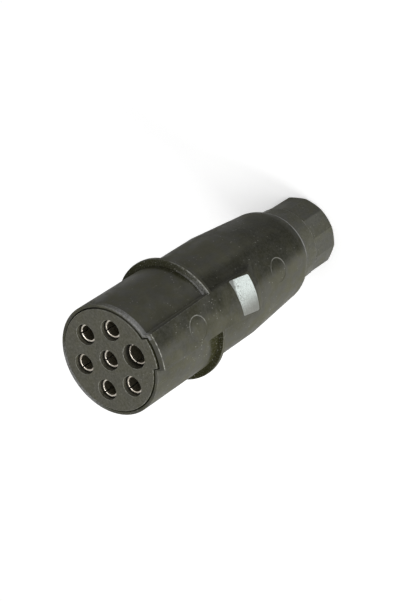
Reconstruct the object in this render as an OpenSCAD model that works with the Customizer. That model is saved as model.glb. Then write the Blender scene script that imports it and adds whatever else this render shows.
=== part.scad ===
// Seven-pole trailer plug for a 24 V lorry lead, with tubular contacts and a gland nut.
// It stands on the flat end of its gland nut, with the contact face up and its key towards -Y.
// Its axis is Z. Depths are measured down from the contact face, and radii from the axis.

/* [Barrel, rib and key] */
// Radius of the barrel that enters the socket
barrel_r = 18.95; // [18.5:0.05:20.5]
// Length of the barrel, from the contact face to the stop rib
barrel_l = 32.2; // [29:0.1:36]
// Wall of the barrel round the contact insert
barrel_wall = 1.1; // [0.9:0.05:1.6]
// Rounding of the barrel's front rim
rim_round = 0.55; // [0.3:0.05:0.85]
// Radius of the stop rib, and of the key that runs flush with it
rib_r = 21.3; // [20.8:0.05:23.5]
// Thickness of the stop rib
rib_t = 1.4; // [1:0.1:3]
// Width of the key at the contact face
key_w = 12.4; // [12:0.1:14]
// How much wider the key is at the rib than at the contact face
key_spread = 0.7; // [0:0.1:1.5]
// Setback of the chamfer on the key's front edge
key_chamfer = 0.3; // [0.2:0.05:1.2]
// Length of the key band behind the rib
band_l = 19.6; // [15:0.1:22]
// Length of the ramp from the band down to the body
ramp_l = 5.5; // [3:0.5:6]
// Side wall of the hollow under the band
band_wall = 2.5; // [2:0.1:3.5]

/* [Body] */
// How far the body stands out past the barrel's radius, or in from it if below zero
body_swell = -0.2; // [-0.4:0.05:1]
// Length of the straight part behind the rib
straight_l = 26.4; // [26:0.2:34]
// Length of the tapered part
taper_l = 25; // [18:0.5:34]
// How much the taper takes off the radius
taper_drop = 2.1; // [1:0.1:2.6]
// Length of the rounded shoulder at the rear
shoulder_l = 6.8; // [5:0.1:9]
// How much the shoulder takes off the radius
shoulder_drop = 2.5; // [2:0.05:3]
// Wall of the tapered part
body_wall = 2.5; // [2:0.1:3]
// Length of the funnel that leads the wires to the cable's hole
funnel_l = 3.2; // [2:0.2:5]
// Thickness of the floor that the cable grommet seats on
floor_t = 3; // [2:0.1:4]

/* [Contact insert] */
// Length of the insert
insert_l = 26; // [24:0.5:28]
// Gap between the insert and the barrel's bore
insert_gap = 0.32; // [0.1:0.02:0.4]
// Width of the ledge that stops the insert
ledge_w = 1.4; // [1:0.1:1.6]
// Thickness of the insert's solid front plate
plate_t = 12; // [9:0.5:15]
// Width of the tab that turns the insert to the key
tab_w = 10; // [8:0.1:10.6]
// Radius of the tab's outer face
tab_r = 19.35; // [19:0.05:19.8]
// Gap at both sides of the tab in its keyway
tab_gap = 0.35; // [0.15:0.05:0.45]
// Gap between the tab's outer face and the keyway's floor
tab_face_gap = 0.6; // [0.15:0.05:0.7]
// Wall of the towers that hold the contacts
tower_wall = 0.9; // [0.7:0.05:1]
// Thickness of the webs between the towers
web_t = 2; // [1.5:0.1:3]
// Width of the lug on the insert
lug_w = 5.6; // [5:0.1:6]
// Thickness of the lug
lug_t = 3.6; // [3:0.1:4]

/* [Contacts] */
// Radius of the circle that the six outer contacts stand on
pitch_r = 11; // [10.8:0.05:11.2]
// Outside radius of a contact sleeve
sleeve_r = 3.2; // [2.9:0.05:3.3]
// Inside radius of a contact sleeve, for a 5 mm pin
sleeve_bore_r = 2.5; // [2.3:0.05:2.6]
// Outside radius of the large sleeve beside the key
big_sleeve_r = 3.6; // [3.4:0.05:3.7]
// Inside radius of the large sleeve, for a 6 mm pin
big_bore_r = 3.05; // [2.9:0.05:3.15]
// Gap between a sleeve and its hole in the insert
sleeve_gap = 0.34; // [0.3:0.02:0.5]
// Gap between the large sleeve and its hole
big_sleeve_gap = 0.6; // [0.4:0.05:0.7]
// Depth of the contacts' collar seats below the contact face
seat_d = 19.6; // [17:0.2:21]
// Depth of each sleeve's mouth below the contact face, from contact 1 to contact 7
mouth_d = [2.2, 1.5, 1.5, 1.5, 1.5, 1.5, 1.75];
// Direction of the first slit of each sleeve, from contact 1 to contact 7
slit_turn = [25, 91, 80, 117, 112, 109, 93];
// Width of the slits
slit_w = 0.45; // [0.3:0.05:0.6]
// Length of the slits
slit_l = 12; // [9:0.5:13]
// Depth of a sleeve's bore below its mouth
bore_l = 15.5; // [14:0.5:16]
// Thickness of a contact's collar
collar_t = 2.4; // [1.5:0.1:3]
// How far the collar stands out past the sleeve's hole
collar_lip = 0.6; // [0.4:0.05:0.65]
// Radius of a terminal barrel
terminal_r = 3.4; // [3.2:0.05:3.5]
// Length of a terminal barrel behind its collar
terminal_l = 14; // [13:0.5:16]
// Extra length of the centre terminal, so that its screw can be reached
centre_extra = 8; // [6:0.5:10]
// Radius of the hole for a wire
wire_r = 2.1; // [1.8:0.05:2.2]
// Depth of the hole for a wire
wire_l = 9; // [8:0.5:10]

/* [Screws] */
// Shank radius of the terminal screws and of the insert screw
screw_r = 1.45; // [1.3:0.05:1.5]
// Head radius of a terminal screw
screw_head_r = 2.2; // [2:0.05:2.4]
// Head height of a terminal screw
screw_head_h = 1.2; // [1:0.05:1.25]
// Distance of a terminal screw from the open end of its barrel
screw_inset = 4.5; // [4:0.1:5]
// Depth of the insert screw below the contact face
lug_screw_d = 38.4; // [37.5:0.1:39]
// Head radius of the insert screw
lug_head_r = 2.6; // [2.3:0.05:2.8]
// Head height of the insert screw
lug_head_h = 1.3; // [1.1:0.05:1.4]
// Wall of the body left under the insert screw's head
lug_seat_wall = 0.8; // [0.6:0.05:1]
// Clearance of the insert screw's shank in the body
lug_screw_gap = 0.15; // [0.05:0.05:0.25]
// Clearance round the insert screw's head
lug_head_gap = 0.2; // [0.1:0.05:0.3]

/* [Gland] */
// Step from the body's rear edge down to the nut
nut_step = 0.75; // [0.4:0.05:1.2]
// Gap between the tightened nut and the body
nut_gap = 0.2; // [0.1:0.05:0.6]
// Length of the nut's round collar
collar_l = 7; // [5:0.5:10]
// Length of the nut's grip with flats
grip_l = 12.2; // [10:0.2:15]
// Chamfer round the nut's end
nut_chamfer = 0.7; // [0.3:0.05:1]
// Wall of the nut round its thread
nut_wall = 1.7; // [1.4:0.05:2]
// Thickness of the nut's end wall
nut_end_t = 3.6; // [2.5:0.1:4.5]
// Gap between the nut's thread and the spigot
thread_gap = 0.12; // [0.08:0.02:0.2]
// Length of the spigot that carries the thread
spigot_l = 13; // [10:0.5:13]
// Wall of the spigot
spigot_wall = 2.3; // [2:0.05:2.5]
// Radius of the bore in the rubber grommet, for the cable
cable_r = 6.5; // [5.5:0.1:6.8]
// Clearance of the cable through the nut, the slip ring and the floor
cable_gap = 0.8; // [0.5:0.1:1]
// Thickness of the slip ring
ring_t = 1.2; // [0.8:0.1:1.5]
// Chamfer of the grommet where it enters the nut
grommet_chamfer = 1; // [0.5:0.1:1.5]

/* [Label and moulding marks] */
// Depth of the foil label's front edge below the contact face
label_d = 43.5; // [40:0.1:44]
// Length of the foil label along the plug
label_l = 9.2; // [6:0.1:9.4]
// Width of the foil label across the band
label_w = 11.8; // [9:0.1:12]
// How far the label's middle stands to one side of the band's middle
label_shift = -0.15; // [-0.3:0.05:0.3]
// How far the label leans to one side over its length
label_lean = 0.7; // [0:0.1:0.8]
// Thickness of the foil label
label_t = 0.2; // [0.15:0.05:0.4]
// Radius of the ejector marks
mark_r = 3.7; // [2.5:0.1:4]
// Depth of the ejector marks
mark_t = 0.25; // [0.15:0.05:0.4]
// Depth of the ejector mark on the key below the contact face
key_mark_d = 20.9; // [12:0.1:26]
// Depth of the ejector mark on the taper below the contact face
body_mark_d = 71; // [68:0.1:80]

/* [Hidden] */
$fn = 96;
// Amount by which a cut runs past the face that it opens
over = 1;
// Small running clearance between turned pieces and their seats
fine_gap = 0.05;
// Number of flats on the nut
nut_flats = 12;
// Number of contacts, and of those on the circle
contact_n = 7;
ring_n = contact_n - 1;
// Direction of the key and of the lug
key_turn = -90;
lug_turn = 120;
// Chamfers that break sharp edges, and the steps of a small rounding
edge = 0.2;
edge_steps = 3;
// Steps of the rounded shoulder
shoulder_steps = 8;
// Sides of the circles on the contacts and screws
small_fn = 48;
// Share of a sleeve's wall that the rounding of its mouth takes inside and outside
mouth_share = 0.3;

// Depths from the contact face
rib_end_d = barrel_l + rib_t;
band_end_d = rib_end_d + band_l;
ramp_end_d = band_end_d + ramp_l;
straight_end_d = rib_end_d + straight_l;
taper_end_d = straight_end_d + taper_l;
body_end_d = taper_end_d + shoulder_l;
spigot_end_d = body_end_d + spigot_l;
grommet_d = taper_end_d + funnel_l + floor_t;
nut_d = body_end_d + nut_gap;
total_l = nut_d + collar_l + grip_l;

// Radii from the axis, each set by the piece outside it
body_r = barrel_r + body_swell;
taper_end_r = body_r - taper_drop;
body_end_r = taper_end_r - shoulder_drop;
bore_r = barrel_r - barrel_wall;
chamber_r = bore_r - ledge_w;
chamber_end_r = taper_end_r - body_wall;
insert_r = bore_r - insert_gap;
keyway_r = tab_r + tab_face_gap;
band_hollow_r = rib_r - (body_r - chamber_r);
nut_r = body_end_r - nut_step;
nut_bore_r = nut_r - nut_wall;
spigot_r = nut_bore_r - thread_gap;
spigot_bore_r = spigot_r - spigot_wall;
grommet_r = spigot_bore_r - fine_gap;
cable_hole_r = cable_r + cable_gap;
lug_r = chamber_r - insert_gap;
lug_end_d = lug_screw_d + lug_w / 2 + edge;
lug_seat_r = chamber_r + lug_seat_wall;

// Height above the nut's end of a depth below the contact face
function at(d) = total_l - d;
// Sizes and place of contact n, counted from 1
function is_big(n) = n == 1;
function is_centre(n) = n == contact_n;
function sleeve_out(n) = is_big(n) ? big_sleeve_r : sleeve_r;
function sleeve_in(n) = is_big(n) ? big_bore_r : sleeve_bore_r;
function hole_r(n) = is_big(n) ? big_sleeve_r + big_sleeve_gap : sleeve_r + sleeve_gap;
function collar_r(n) = hole_r(n) + collar_lip;
function seat_r(n) = collar_r(n) + fine_gap;
function turn(n) = key_turn + (n - 1) * 360 / ring_n;
function centre(n) = is_centre(n) ? [0, 0, 0] : pitch_r * [cos(turn(n)), sin(turn(n)), 0];
function slit_dirs(n) = is_big(n) ? 3 : 1;
function terminal_end_d(n) = seat_d + collar_t + terminal_l + (is_centre(n) ? centre_extra : 0);
// Quarter round from [r, d] with radius q, from the face to the side
function round_off(r, d, q, steps = 6) =
    [for (i = [0:steps]) [r - q + q * sin(90 * i / steps), at(d + q - q * cos(90 * i / steps))]];
// Radius of the body's outside on its taper at depth d
function taper_r(d) = body_r - taper_drop * (d - straight_end_d) / taper_l;

// Plan of the body's outside, turned about the axis
function body_plan() = concat(
    [[0, at(0)]],
    round_off(barrel_r, 0, rim_round),
    [[barrel_r, at(barrel_l - edge * 2)],
     [barrel_r + edge * 2, at(barrel_l)],
     [rib_r - edge, at(barrel_l)],
     [rib_r, at(barrel_l + edge)],
     [rib_r, at(rib_end_d - edge)],
     [rib_r - edge, at(rib_end_d)],
     [body_r, at(rib_end_d)],
     [body_r, at(straight_end_d)]],
    [for (i = [0:shoulder_steps]) let (t = i / shoulder_steps)
        [taper_end_r - shoulder_drop * t * t, at(taper_end_d + shoulder_l * t)]],
    [[spigot_r, at(body_end_d)],
     [spigot_r, at(spigot_end_d - edge * 2)],
     [spigot_r - edge * 2, at(spigot_end_d)],
     [0, at(spigot_end_d)]]);

// Plan of the space inside the body, turned about the axis
function cavity_plan() = [
    [0, at(-over)],
    [bore_r, at(-over)],
    [bore_r, at(insert_l)],
    [chamber_r, at(insert_l)],
    [chamber_r, at(straight_end_d)],
    [chamber_end_r, at(taper_end_d)],
    [cable_hole_r, at(taper_end_d + funnel_l)],
    [cable_hole_r, at(grommet_d)],
    [spigot_bore_r, at(grommet_d)],
    [spigot_bore_r, at(spigot_end_d + over)],
    [0, at(spigot_end_d + over)]];

// Plan of the key and band, turned about the axis and then cut to width
function key_plan() = [
    [bore_r - over, at(0)],
    [rib_r - key_chamfer, at(0)],
    [rib_r, at(key_chamfer)],
    [rib_r, at(band_end_d)],
    [body_r - edge, at(ramp_end_d)],
    [bore_r - over, at(ramp_end_d)]];

// Ring with its inner and outer radii, between two depths
module ring(r0, r1, d0, d1) {
    rotate_extrude()
        polygon([[r0, at(d0)], [r1, at(d0)], [r1, at(d1)], [r0, at(d1)]]);
}

// Straight-sided slab on the key's side, w0 wide at depth d0 and w1 at depth d1
module key_slab(w0, w1, d0, d1) {
    rotate([90, 0, 0])
        linear_extrude(height = rib_r + over)
            polygon([[-w0 / 2, at(d0)], [w0 / 2, at(d0)], [w1 / 2, at(d1)], [-w1 / 2, at(d1)]]);
}

// Rod that stands out from the axis in direction a at depth d
module spoke(a, d, r, from_r, to_r) {
    translate([0, 0, at(d)])
        rotate([0, 0, a])
            rotate([0, 90, 0])
                translate([0, 0, from_r])
                    cylinder(r = r, h = to_r - from_r);
}

// Key in front of the rib, and the band behind it that ramps down to the body
module key() {
    intersection() {
        rotate_extrude() polygon(key_plan());
        union() {
            key_slab(key_w, key_w + key_spread, -over, barrel_l);
            key_slab(key_w + key_spread, key_w + key_spread, barrel_l, ramp_end_d + over);
        }
    }
}

// Keyway for the insert's tab, and the hollow under the band behind it
module keyway() {
    intersection() {
        ring(bore_r - over, keyway_r, -over, insert_l);
        key_slab(tab_w + 2 * tab_gap, tab_w + 2 * tab_gap, -over * 2, insert_l + over);
    }
    hollow_w = key_w + key_spread - 2 * band_wall;
    intersection() {
        ring(chamber_r - over, band_hollow_r, insert_l - fine_gap, band_end_d);
        key_slab(hollow_w, hollow_w, insert_l - over, band_end_d + over);
    }
}

// Outline of the foil, as a slab through the band
module label_slab(grow = 0) {
    w = label_w + 2 * grow;
    front = label_shift + label_lean / 2;
    rear = label_shift - label_lean / 2;
    rotate([90, 0, 0])
        linear_extrude(height = rib_r + over)
            polygon([
                [front - w / 2, at(label_d - grow)],
                [front + w / 2, at(label_d - grow)],
                [rear + w / 2, at(label_d + label_l + grow)],
                [rear - w / 2, at(label_d + label_l + grow)]]);
}

// Shallow round marks of the ejector pins, following the surface
module ejector_marks() {
    intersection() {
        ring(rib_r - mark_t, rib_r + over, key_mark_d - mark_r - over, key_mark_d + mark_r + over);
        spoke(key_turn, key_mark_d, mark_r, bore_r, rib_r + over);
    }
    d0 = body_mark_d - mark_r - over;
    d1 = body_mark_d + mark_r + over;
    intersection() {
        rotate_extrude()
            polygon([
                [taper_r(d0) - mark_t, at(d0)],
                [body_r + over, at(d0)],
                [body_r + over, at(d1)],
                [taper_r(d1) - mark_t, at(d1)]]);
        spoke(key_turn, body_mark_d, mark_r, chamber_end_r, rib_r);
    }
}

module housing() {
    color("#4e5048")
    difference() {
        union() {
            rotate_extrude() polygon(body_plan());
            key();
        }
        rotate_extrude() polygon(cavity_plan());
        keyway();
        intersection() {
            ring(rib_r - label_t, rib_r + over, label_d - over, label_d + label_l + over);
            label_slab(fine_gap);
        }
        ejector_marks();
        spoke(lug_turn, lug_screw_d, screw_r + lug_screw_gap, chamber_r - over, body_r + over);
        spoke(lug_turn, lug_screw_d, lug_head_r + lug_head_gap, lug_seat_r, body_r + over);
    }
}

module foil_label() {
    color("#d9deda")
    intersection() {
        ring(rib_r - label_t, rib_r, label_d - over, label_d + label_l + over);
        label_slab();
    }
}

// Solid front plate, open-backed towers for the contacts, a tab for the keyway
// and a lug that the insert screw holds
module contact_insert() {
    color("#5c5c57")
    difference() {
        union() {
            difference() {
                rotate_extrude()
                    polygon(concat(
                        [[0, at(0)]],
                        round_off(insert_r, 0, edge, edge_steps),
                        [[insert_r, at(insert_l)], [0, at(insert_l)]]));
                ring(0, chamber_r - over, plate_t, insert_l + over);
            }
            for (n = [1:contact_n])
                translate(centre(n) + [0, 0, at(insert_l)])
                    cylinder(r = seat_r(n) + tower_wall, h = insert_l - plate_t + over);
            for (n = [1:ring_n])
                rotate([0, 0, turn(n)])
                    translate([0, -web_t / 2, at(insert_l)])
                        cube([chamber_r, web_t, insert_l - plate_t + over]);
            intersection() {
                rotate_extrude()
                    polygon(concat(
                        [[insert_r - over, at(0)]],
                        round_off(tab_r, 0, edge, edge_steps),
                        [[tab_r, at(insert_l)], [insert_r - over, at(insert_l)]]));
                key_slab(tab_w, tab_w, -over, insert_l + over);
            }
            intersection() {
                ring(lug_r - lug_t, lug_r, plate_t - over, lug_end_d);
                rotate([0, 0, lug_turn])
                    translate([0, -lug_w / 2, 0])
                        cube([body_r, lug_w, total_l]);
            }
        }
        for (n = [1:contact_n])
            translate(centre(n)) {
                translate([0, 0, at(seat_d)])
                    cylinder(r = hole_r(n), h = seat_d + over);
                translate([0, 0, at(insert_l + over)])
                    cylinder(r = seat_r(n), h = insert_l + over - seat_d);
            }
        spoke(lug_turn, lug_screw_d, screw_r + fine_gap, lug_r - lug_t - over, lug_r + over);
    }
}

// Split sleeve, collar and terminal barrel, turned in one piece
module contact(n) {
    mouth = mouth_d[n - 1];
    end_d = terminal_end_d(n);
    screw_d = end_d - screw_inset;
    rim = (sleeve_out(n) - sleeve_in(n)) * mouth_share;
    slit_from = is_big(n) ? 0 : -sleeve_r - over;
    slit_to = sleeve_out(n) + over;
    color("#cdc7b6")
    translate(centre(n))
    difference() {
        rotate_extrude($fn = small_fn)
            polygon(concat(
                [[0, at(mouth)]],
                round_off(sleeve_out(n), mouth, rim, edge_steps),
                [[sleeve_out(n), at(seat_d)],
                 [collar_r(n), at(seat_d)],
                 [collar_r(n), at(seat_d + collar_t)],
                 [terminal_r, at(seat_d + collar_t)],
                 [terminal_r, at(end_d - edge)],
                 [terminal_r - edge, at(end_d)],
                 [0, at(end_d)]]));
        translate([0, 0, at(mouth + bore_l)])
            cylinder(r = sleeve_in(n), h = bore_l + over, $fn = small_fn);
        translate([0, 0, at(mouth + rim)])
            cylinder(r1 = sleeve_in(n), r2 = sleeve_in(n) + rim + over, h = rim + over, $fn = small_fn);
        for (i = [0:slit_dirs(n) - 1])
            rotate([0, 0, slit_turn[n - 1] + i * 360 / slit_dirs(n)])
                translate([slit_from, -slit_w / 2, at(mouth + slit_l)])
                    cube([slit_to - slit_from, slit_w, slit_l + over]);
        translate([0, 0, at(end_d + over)])
            cylinder(r = wire_r, h = wire_l + over, $fn = small_fn);
        translate([0, 0, at(screw_d)])
            rotate([0, 0, turn(n)])
                rotate([0, 90, 0])
                    cylinder(r = screw_r + fine_gap, h = terminal_r + over, $fn = small_fn);
    }
}

// Slotted cheese-head screw along +Z, with its head's seat at the origin
module slotted_screw(head_r, head_h, shank_l) {
    slot_w = 0.6;
    slot_t = head_h / 2;
    difference() {
        union() {
            cylinder(r = head_r, h = head_h, $fn = small_fn);
            translate([0, 0, -shank_l])
                cylinder(r = screw_r, h = shank_l + fine_gap, $fn = small_fn);
        }
        translate([-head_r - over, -slot_w / 2, head_h - slot_t])
            cube([2 * (head_r + over), slot_w, head_h]);
    }
}

// Clamp screw of contact n, screwed in from outside the circle of contacts
module terminal_screw(n) {
    tip_r = wire_r * 0.4;
    color("#b9b7ad")
    translate(centre(n) + [0, 0, at(terminal_end_d(n) - screw_inset)])
        rotate([0, 0, turn(n)])
            rotate([0, 90, 0])
                translate([0, 0, terminal_r + fine_gap])
                    slotted_screw(screw_head_r, screw_head_h, terminal_r + fine_gap - tip_r);
}

// Screw through the body's wall into the insert's lug, on the side away from the key
module insert_screw() {
    color("#a9a89f")
    translate([0, 0, at(lug_screw_d)])
        rotate([0, 0, lug_turn])
            rotate([0, 90, 0])
                translate([0, 0, lug_seat_r])
                    slotted_screw(lug_head_r, min(lug_head_h, body_r - lug_seat_r),
                        lug_seat_r - (lug_r - lug_t) - edge);
}

// Rubber grommet between the floor of the body and the slip ring
module cable_grommet() {
    bottom = nut_end_t + ring_t;
    top = at(grommet_d);
    color("#26262a")
    rotate_extrude()
        polygon([
            [cable_r, bottom],
            [grommet_r - grommet_chamfer, bottom],
            [grommet_r, bottom + grommet_chamfer],
            [grommet_r, top],
            [cable_r, top]]);
}

module slip_ring() {
    color("#8d8e88")
    rotate_extrude()
        polygon([
            [cable_hole_r, nut_end_t],
            [nut_bore_r - edge, nut_end_t],
            [nut_bore_r - edge, nut_end_t + ring_t],
            [cable_hole_r, nut_end_t + ring_t]]);
}

// Cap nut with a round collar, twelve flats and a hole for the cable
module gland_nut() {
    corner_r = nut_r - fine_gap;
    color("#6b6c66")
    difference() {
        union() {
            rotate_extrude()
                polygon([
                    [0, grip_l],
                    [nut_r, grip_l],
                    [nut_r, grip_l + collar_l - edge],
                    [nut_r - edge, grip_l + collar_l],
                    [0, grip_l + collar_l]]);
            intersection() {
                cylinder(r = corner_r, h = grip_l + edge, $fn = nut_flats);
                rotate_extrude()
                    polygon([
                        [0, 0],
                        [corner_r - nut_chamfer, 0],
                        [corner_r + edge, nut_chamfer + edge],
                        [corner_r + edge, grip_l + over],
                        [0, grip_l + over]]);
            }
        }
        translate([0, 0, nut_end_t])
            cylinder(r = nut_bore_r, h = total_l);
        translate([0, 0, -over])
            cylinder(r = cable_hole_r, h = nut_end_t + 2 * over);
    }
}

housing();
contact_insert();
contact(1);  // contact_1
contact(2);  // contact_2
contact(3);  // contact_3
contact(4);  // contact_4
contact(5);  // contact_5
contact(6);  // contact_6
contact(7);  // contact_7
terminal_screw(1);  // terminal_screw_1
terminal_screw(2);  // terminal_screw_2
terminal_screw(3);  // terminal_screw_3
terminal_screw(4);  // terminal_screw_4
terminal_screw(5);  // terminal_screw_5
terminal_screw(6);  // terminal_screw_6
terminal_screw(7);  // terminal_screw_7
insert_screw();
foil_label();
cable_grommet();
slip_ring();
gland_nut();
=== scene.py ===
"""Dresses the seven-pole trailer plug that stands on the end of its gland nut.

The CAD frame gives every piece its place. Lengths in the classes are millimetres, and depths are
measured down from the contact face, along the plug's axis. The key points towards -Y.
"""

import logging
import math
from collections.abc import Callable, Iterable, Sequence
from dataclasses import dataclass, field
from enum import Enum
from typing import Any

import bmesh
import bpy
from mathutils import Matrix, Vector


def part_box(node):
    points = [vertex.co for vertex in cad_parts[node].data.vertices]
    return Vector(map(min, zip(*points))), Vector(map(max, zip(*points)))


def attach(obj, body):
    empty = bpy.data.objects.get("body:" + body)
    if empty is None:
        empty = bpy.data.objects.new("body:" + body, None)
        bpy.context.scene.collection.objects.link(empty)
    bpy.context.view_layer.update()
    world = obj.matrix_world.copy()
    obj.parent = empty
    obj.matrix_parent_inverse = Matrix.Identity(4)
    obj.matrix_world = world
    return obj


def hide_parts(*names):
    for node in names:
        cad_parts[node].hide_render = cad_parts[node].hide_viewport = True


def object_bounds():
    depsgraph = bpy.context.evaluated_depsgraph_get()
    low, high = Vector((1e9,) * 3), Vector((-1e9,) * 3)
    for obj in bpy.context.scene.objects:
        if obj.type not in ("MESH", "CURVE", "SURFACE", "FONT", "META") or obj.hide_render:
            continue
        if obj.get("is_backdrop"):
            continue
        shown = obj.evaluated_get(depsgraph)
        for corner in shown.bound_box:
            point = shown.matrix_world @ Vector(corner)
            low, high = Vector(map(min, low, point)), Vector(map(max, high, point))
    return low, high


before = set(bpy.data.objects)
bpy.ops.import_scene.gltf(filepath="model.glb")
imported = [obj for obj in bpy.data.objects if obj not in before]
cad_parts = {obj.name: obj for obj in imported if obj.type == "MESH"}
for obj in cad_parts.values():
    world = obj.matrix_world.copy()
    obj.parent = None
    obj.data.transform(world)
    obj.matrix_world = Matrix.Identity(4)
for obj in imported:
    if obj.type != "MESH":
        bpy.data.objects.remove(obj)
CAD_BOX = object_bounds()

LOG = logging.getLogger("trailer_plug")
MM = 0.001
BODY = "root"
# Pale edges: wear, which on the housing's rim, rib, nose and rear edge is also a painted highlight.
EDGE_LAYER = "worn_and_glinting_edge"
AXIS_LAYER = "axis_distance"
BORE_LAYER = "bore_distance"
MOUTH_LAYER = "mouth_distance"
TRAP_LAYER = "dust_trap"
# Pale marks on the lip, the rim and the rib root: painted highlights, partly rubbed wear.
RUB_GLINT_LAYER = "rub_and_glint"
# Painted shade in the gap round the insert and in the corner in front of the rib's root.
PAINTED_SHADE_LAYER = "painted_shade_patch"
# Painted sheen: a pale layer on the housing that stands for the reflection of the pale surroundings on its
# -X side.
SHEEN_LAYER = "painted_sheen"
FACE_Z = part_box("housing")[1].z / MM
WELD = 2e-6
FLAT_TURN = math.radians(0.5)
SHARP_TURN = math.radians(32)
# A face that rounds an edge turns at least this much at both sides and is at most so wide.
ROUND_TURN = math.radians(9)
ROUND_WIDTH = 0.3
# Place across and depth of each ejector mark's middle, on the key and on the body behind it.
EJECTOR_MARKS = {"key": (-0.8, 20.8), "body": (-0.75, 70.8)}
MARK_R = 4.05
# How far outside a mark's edge its ring of painted highlight lies.
RING_OUT = 0.1
# A rounded corner takes at most this share of a side, and one smaller than the least stays sharp.
CORNER_SHARE = 0.4
LEAST_CORNER = 0.01

Colour = tuple[float, float, float]
Point2 = tuple[float, float]


class Slot(Enum):
    """The record's material slots."""

    HOUSING = "housing_plastic"
    INSERT = "insert_plastic"
    NUT = "nut_plastic"
    CONTACT = "contact_plating"
    SCREW = "screw_steel"
    RING = "ring_metal"
    RUBBER = "grommet_rubber"
    FOIL = "foil"


class NodeSheet:
    """A node tree with short calls that add nodes and join them.

    A value is a number, an output socket or a node, which stands for its first output.
    """

    def __init__(self, tree: bpy.types.NodeTree) -> None:
        """Keeps the tree."""
        self.tree = tree

    @staticmethod
    def empty(owner: Any) -> bpy.types.NodeTree:
        """Empties the node tree of a new material or world.

        Args:
            owner: the material or world.

        Returns:
            Its tree.
        """
        owner.use_nodes = True
        owner.node_tree.nodes.clear()
        return owner.node_tree

    def feed(self, node: Any, inputs: dict[Any, Any]) -> None:
        """Fills a node's inputs.

        Args:
            node: the node.
            inputs: a value for each input's name or number.
        """
        for key, value in inputs.items():
            source = value.outputs[0] if isinstance(value, bpy.types.Node) else value
            if isinstance(source, bpy.types.NodeSocket):
                self.tree.links.new(source, node.inputs[key])
            else:
                node.inputs[key].default_value = source

    def add(self, kind: str, inputs: dict[Any, Any] | None = None, **settings: Any) -> Any:
        """Adds a node, sets its properties and fills its inputs.

        Args:
            kind: Blender's name of the node type.
            inputs: a value for each input's name or number.
            settings: properties of the node itself.

        Returns:
            The new node.
        """
        node = self.tree.nodes.new(kind)
        for name, value in settings.items():
            setattr(node, name, value)
        self.feed(node, inputs or {})
        return node

    def math(self, operation: str, *values: Any, clamp: bool = False) -> Any:
        """Adds a Math node.

        Args:
            operation: Blender's name of the operation.
            values: its values, in order.
            clamp: whether the result stays between 0 and 1.

        Returns:
            The node.
        """
        return self.add("ShaderNodeMath", dict(enumerate(values)), operation=operation, use_clamp=clamp)

    def times(self, *pair: Any, clamp: bool = False) -> Any:
        """Multiplies two values."""
        return self.math("MULTIPLY", *pair, clamp=clamp)

    def plus(self, *pair: Any, clamp: bool = False) -> Any:
        """Adds two values."""
        return self.math("ADD", *pair, clamp=clamp)

    def less(self, *pair: Any, clamp: bool = False) -> Any:
        """Takes the second value from the first."""
        return self.math("SUBTRACT", *pair, clamp=clamp)

    def most(self, *pair: Any) -> Any:
        """Keeps the greater of two values."""
        return self.math("MAXIMUM", *pair)

    def ramp(self, value: Any, start: float, end: float, low: float = 0, high: float = 1) -> Any:
        """Maps a value smoothly, so that it goes from low to high on its way from start to end.

        Args:
            value: the value to map.
            start: start of the range that is read.
            end: end of the range that is read.
            low: result at the start.
            high: result at the end.

        Returns:
            The node.
        """
        ends = {"Value": value, "From Min": start, "From Max": end, "To Min": low, "To Max": high}
        return self.add("ShaderNodeMapRange", ends, interpolation_type="SMOOTHSTEP")

    def tint(self, mask: Any, base: Any, over: Any, blend: str = "MIX") -> Any:
        """Lays one colour over another where a mask is high.

        Args:
            mask: value from 0 to 1.
            base: colour or value under the mask.
            over: colour or value in the mask.
            blend: Blender's name of the way they mix.

        Returns:
            The mixed colour's socket.
        """
        base, over = ((*c, 1) if isinstance(c, tuple) else c for c in (base, over))
        inputs = {0: mask, 6: base, 7: over}
        return self.add("ShaderNodeMix", inputs, data_type="RGBA", blend_type=blend).outputs[2]

    def layer(self, name: str) -> Any:
        """Reads one of the maps that the mesh carries."""
        return self.add("ShaderNodeAttribute", attribute_name=name).outputs["Fac"]

    def split(self, vector: Any) -> Any:
        """Gives the X, Y and Z of a place."""
        return self.add("ShaderNodeSeparateXYZ", {0: vector}).outputs

    def bump(self, height: Any, distance: float) -> Any:
        """Turns a height into a normal, with a distance in millimetres."""
        return self.add("ShaderNodeBump", {"Distance": distance * MM, "Height": height})

    def place_mm(self, stretch: Colour = (1, 1, 1)) -> Any:
        """Gives the place on the piece in millimetres.

        Args:
            stretch: factors along X, Y and Z.

        Returns:
            The node.
        """
        where = self.add("ShaderNodeTexCoord").outputs["Object"]
        factors = [f / MM for f in stretch]
        return self.add("ShaderNodeVectorMath", {0: where, 1: factors}, operation="MULTIPLY")


@dataclass(frozen=True)
class Lumps:
    """An uneven pattern of noise.

    Attributes:
        per_mm: how many lumps go to a millimetre, as a number or a socket.
        start: noise at which the pattern starts.
        end: noise at which it is full.
        detail: number of finer layers.
        rough: strength of the finer layers.
        low: result up to the start.
        high: result from the end.
    """

    per_mm: Any
    start: float = 0.0
    end: float = 1.0
    detail: float = 2
    rough: float = 0.5
    low: float = 0
    high: float = 1

    def noise(self, sheet: NodeSheet, where: Any) -> Any:
        """Adds the noise alone.

        Args:
            sheet: the node sheet.
            where: the place in millimetres.

        Returns:
            The noise's node.
        """
        return sheet.add("ShaderNodeTexNoise", {"Vector": where, "Scale": self.per_mm,
            "Detail": self.detail, "Roughness": self.rough})

    def on(self, sheet: NodeSheet, where: Any) -> Any:
        """Adds the pattern: its noise, mapped from low to high."""
        return sheet.ramp(self.noise(sheet, where), self.start, self.end, self.low, self.high)


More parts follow.
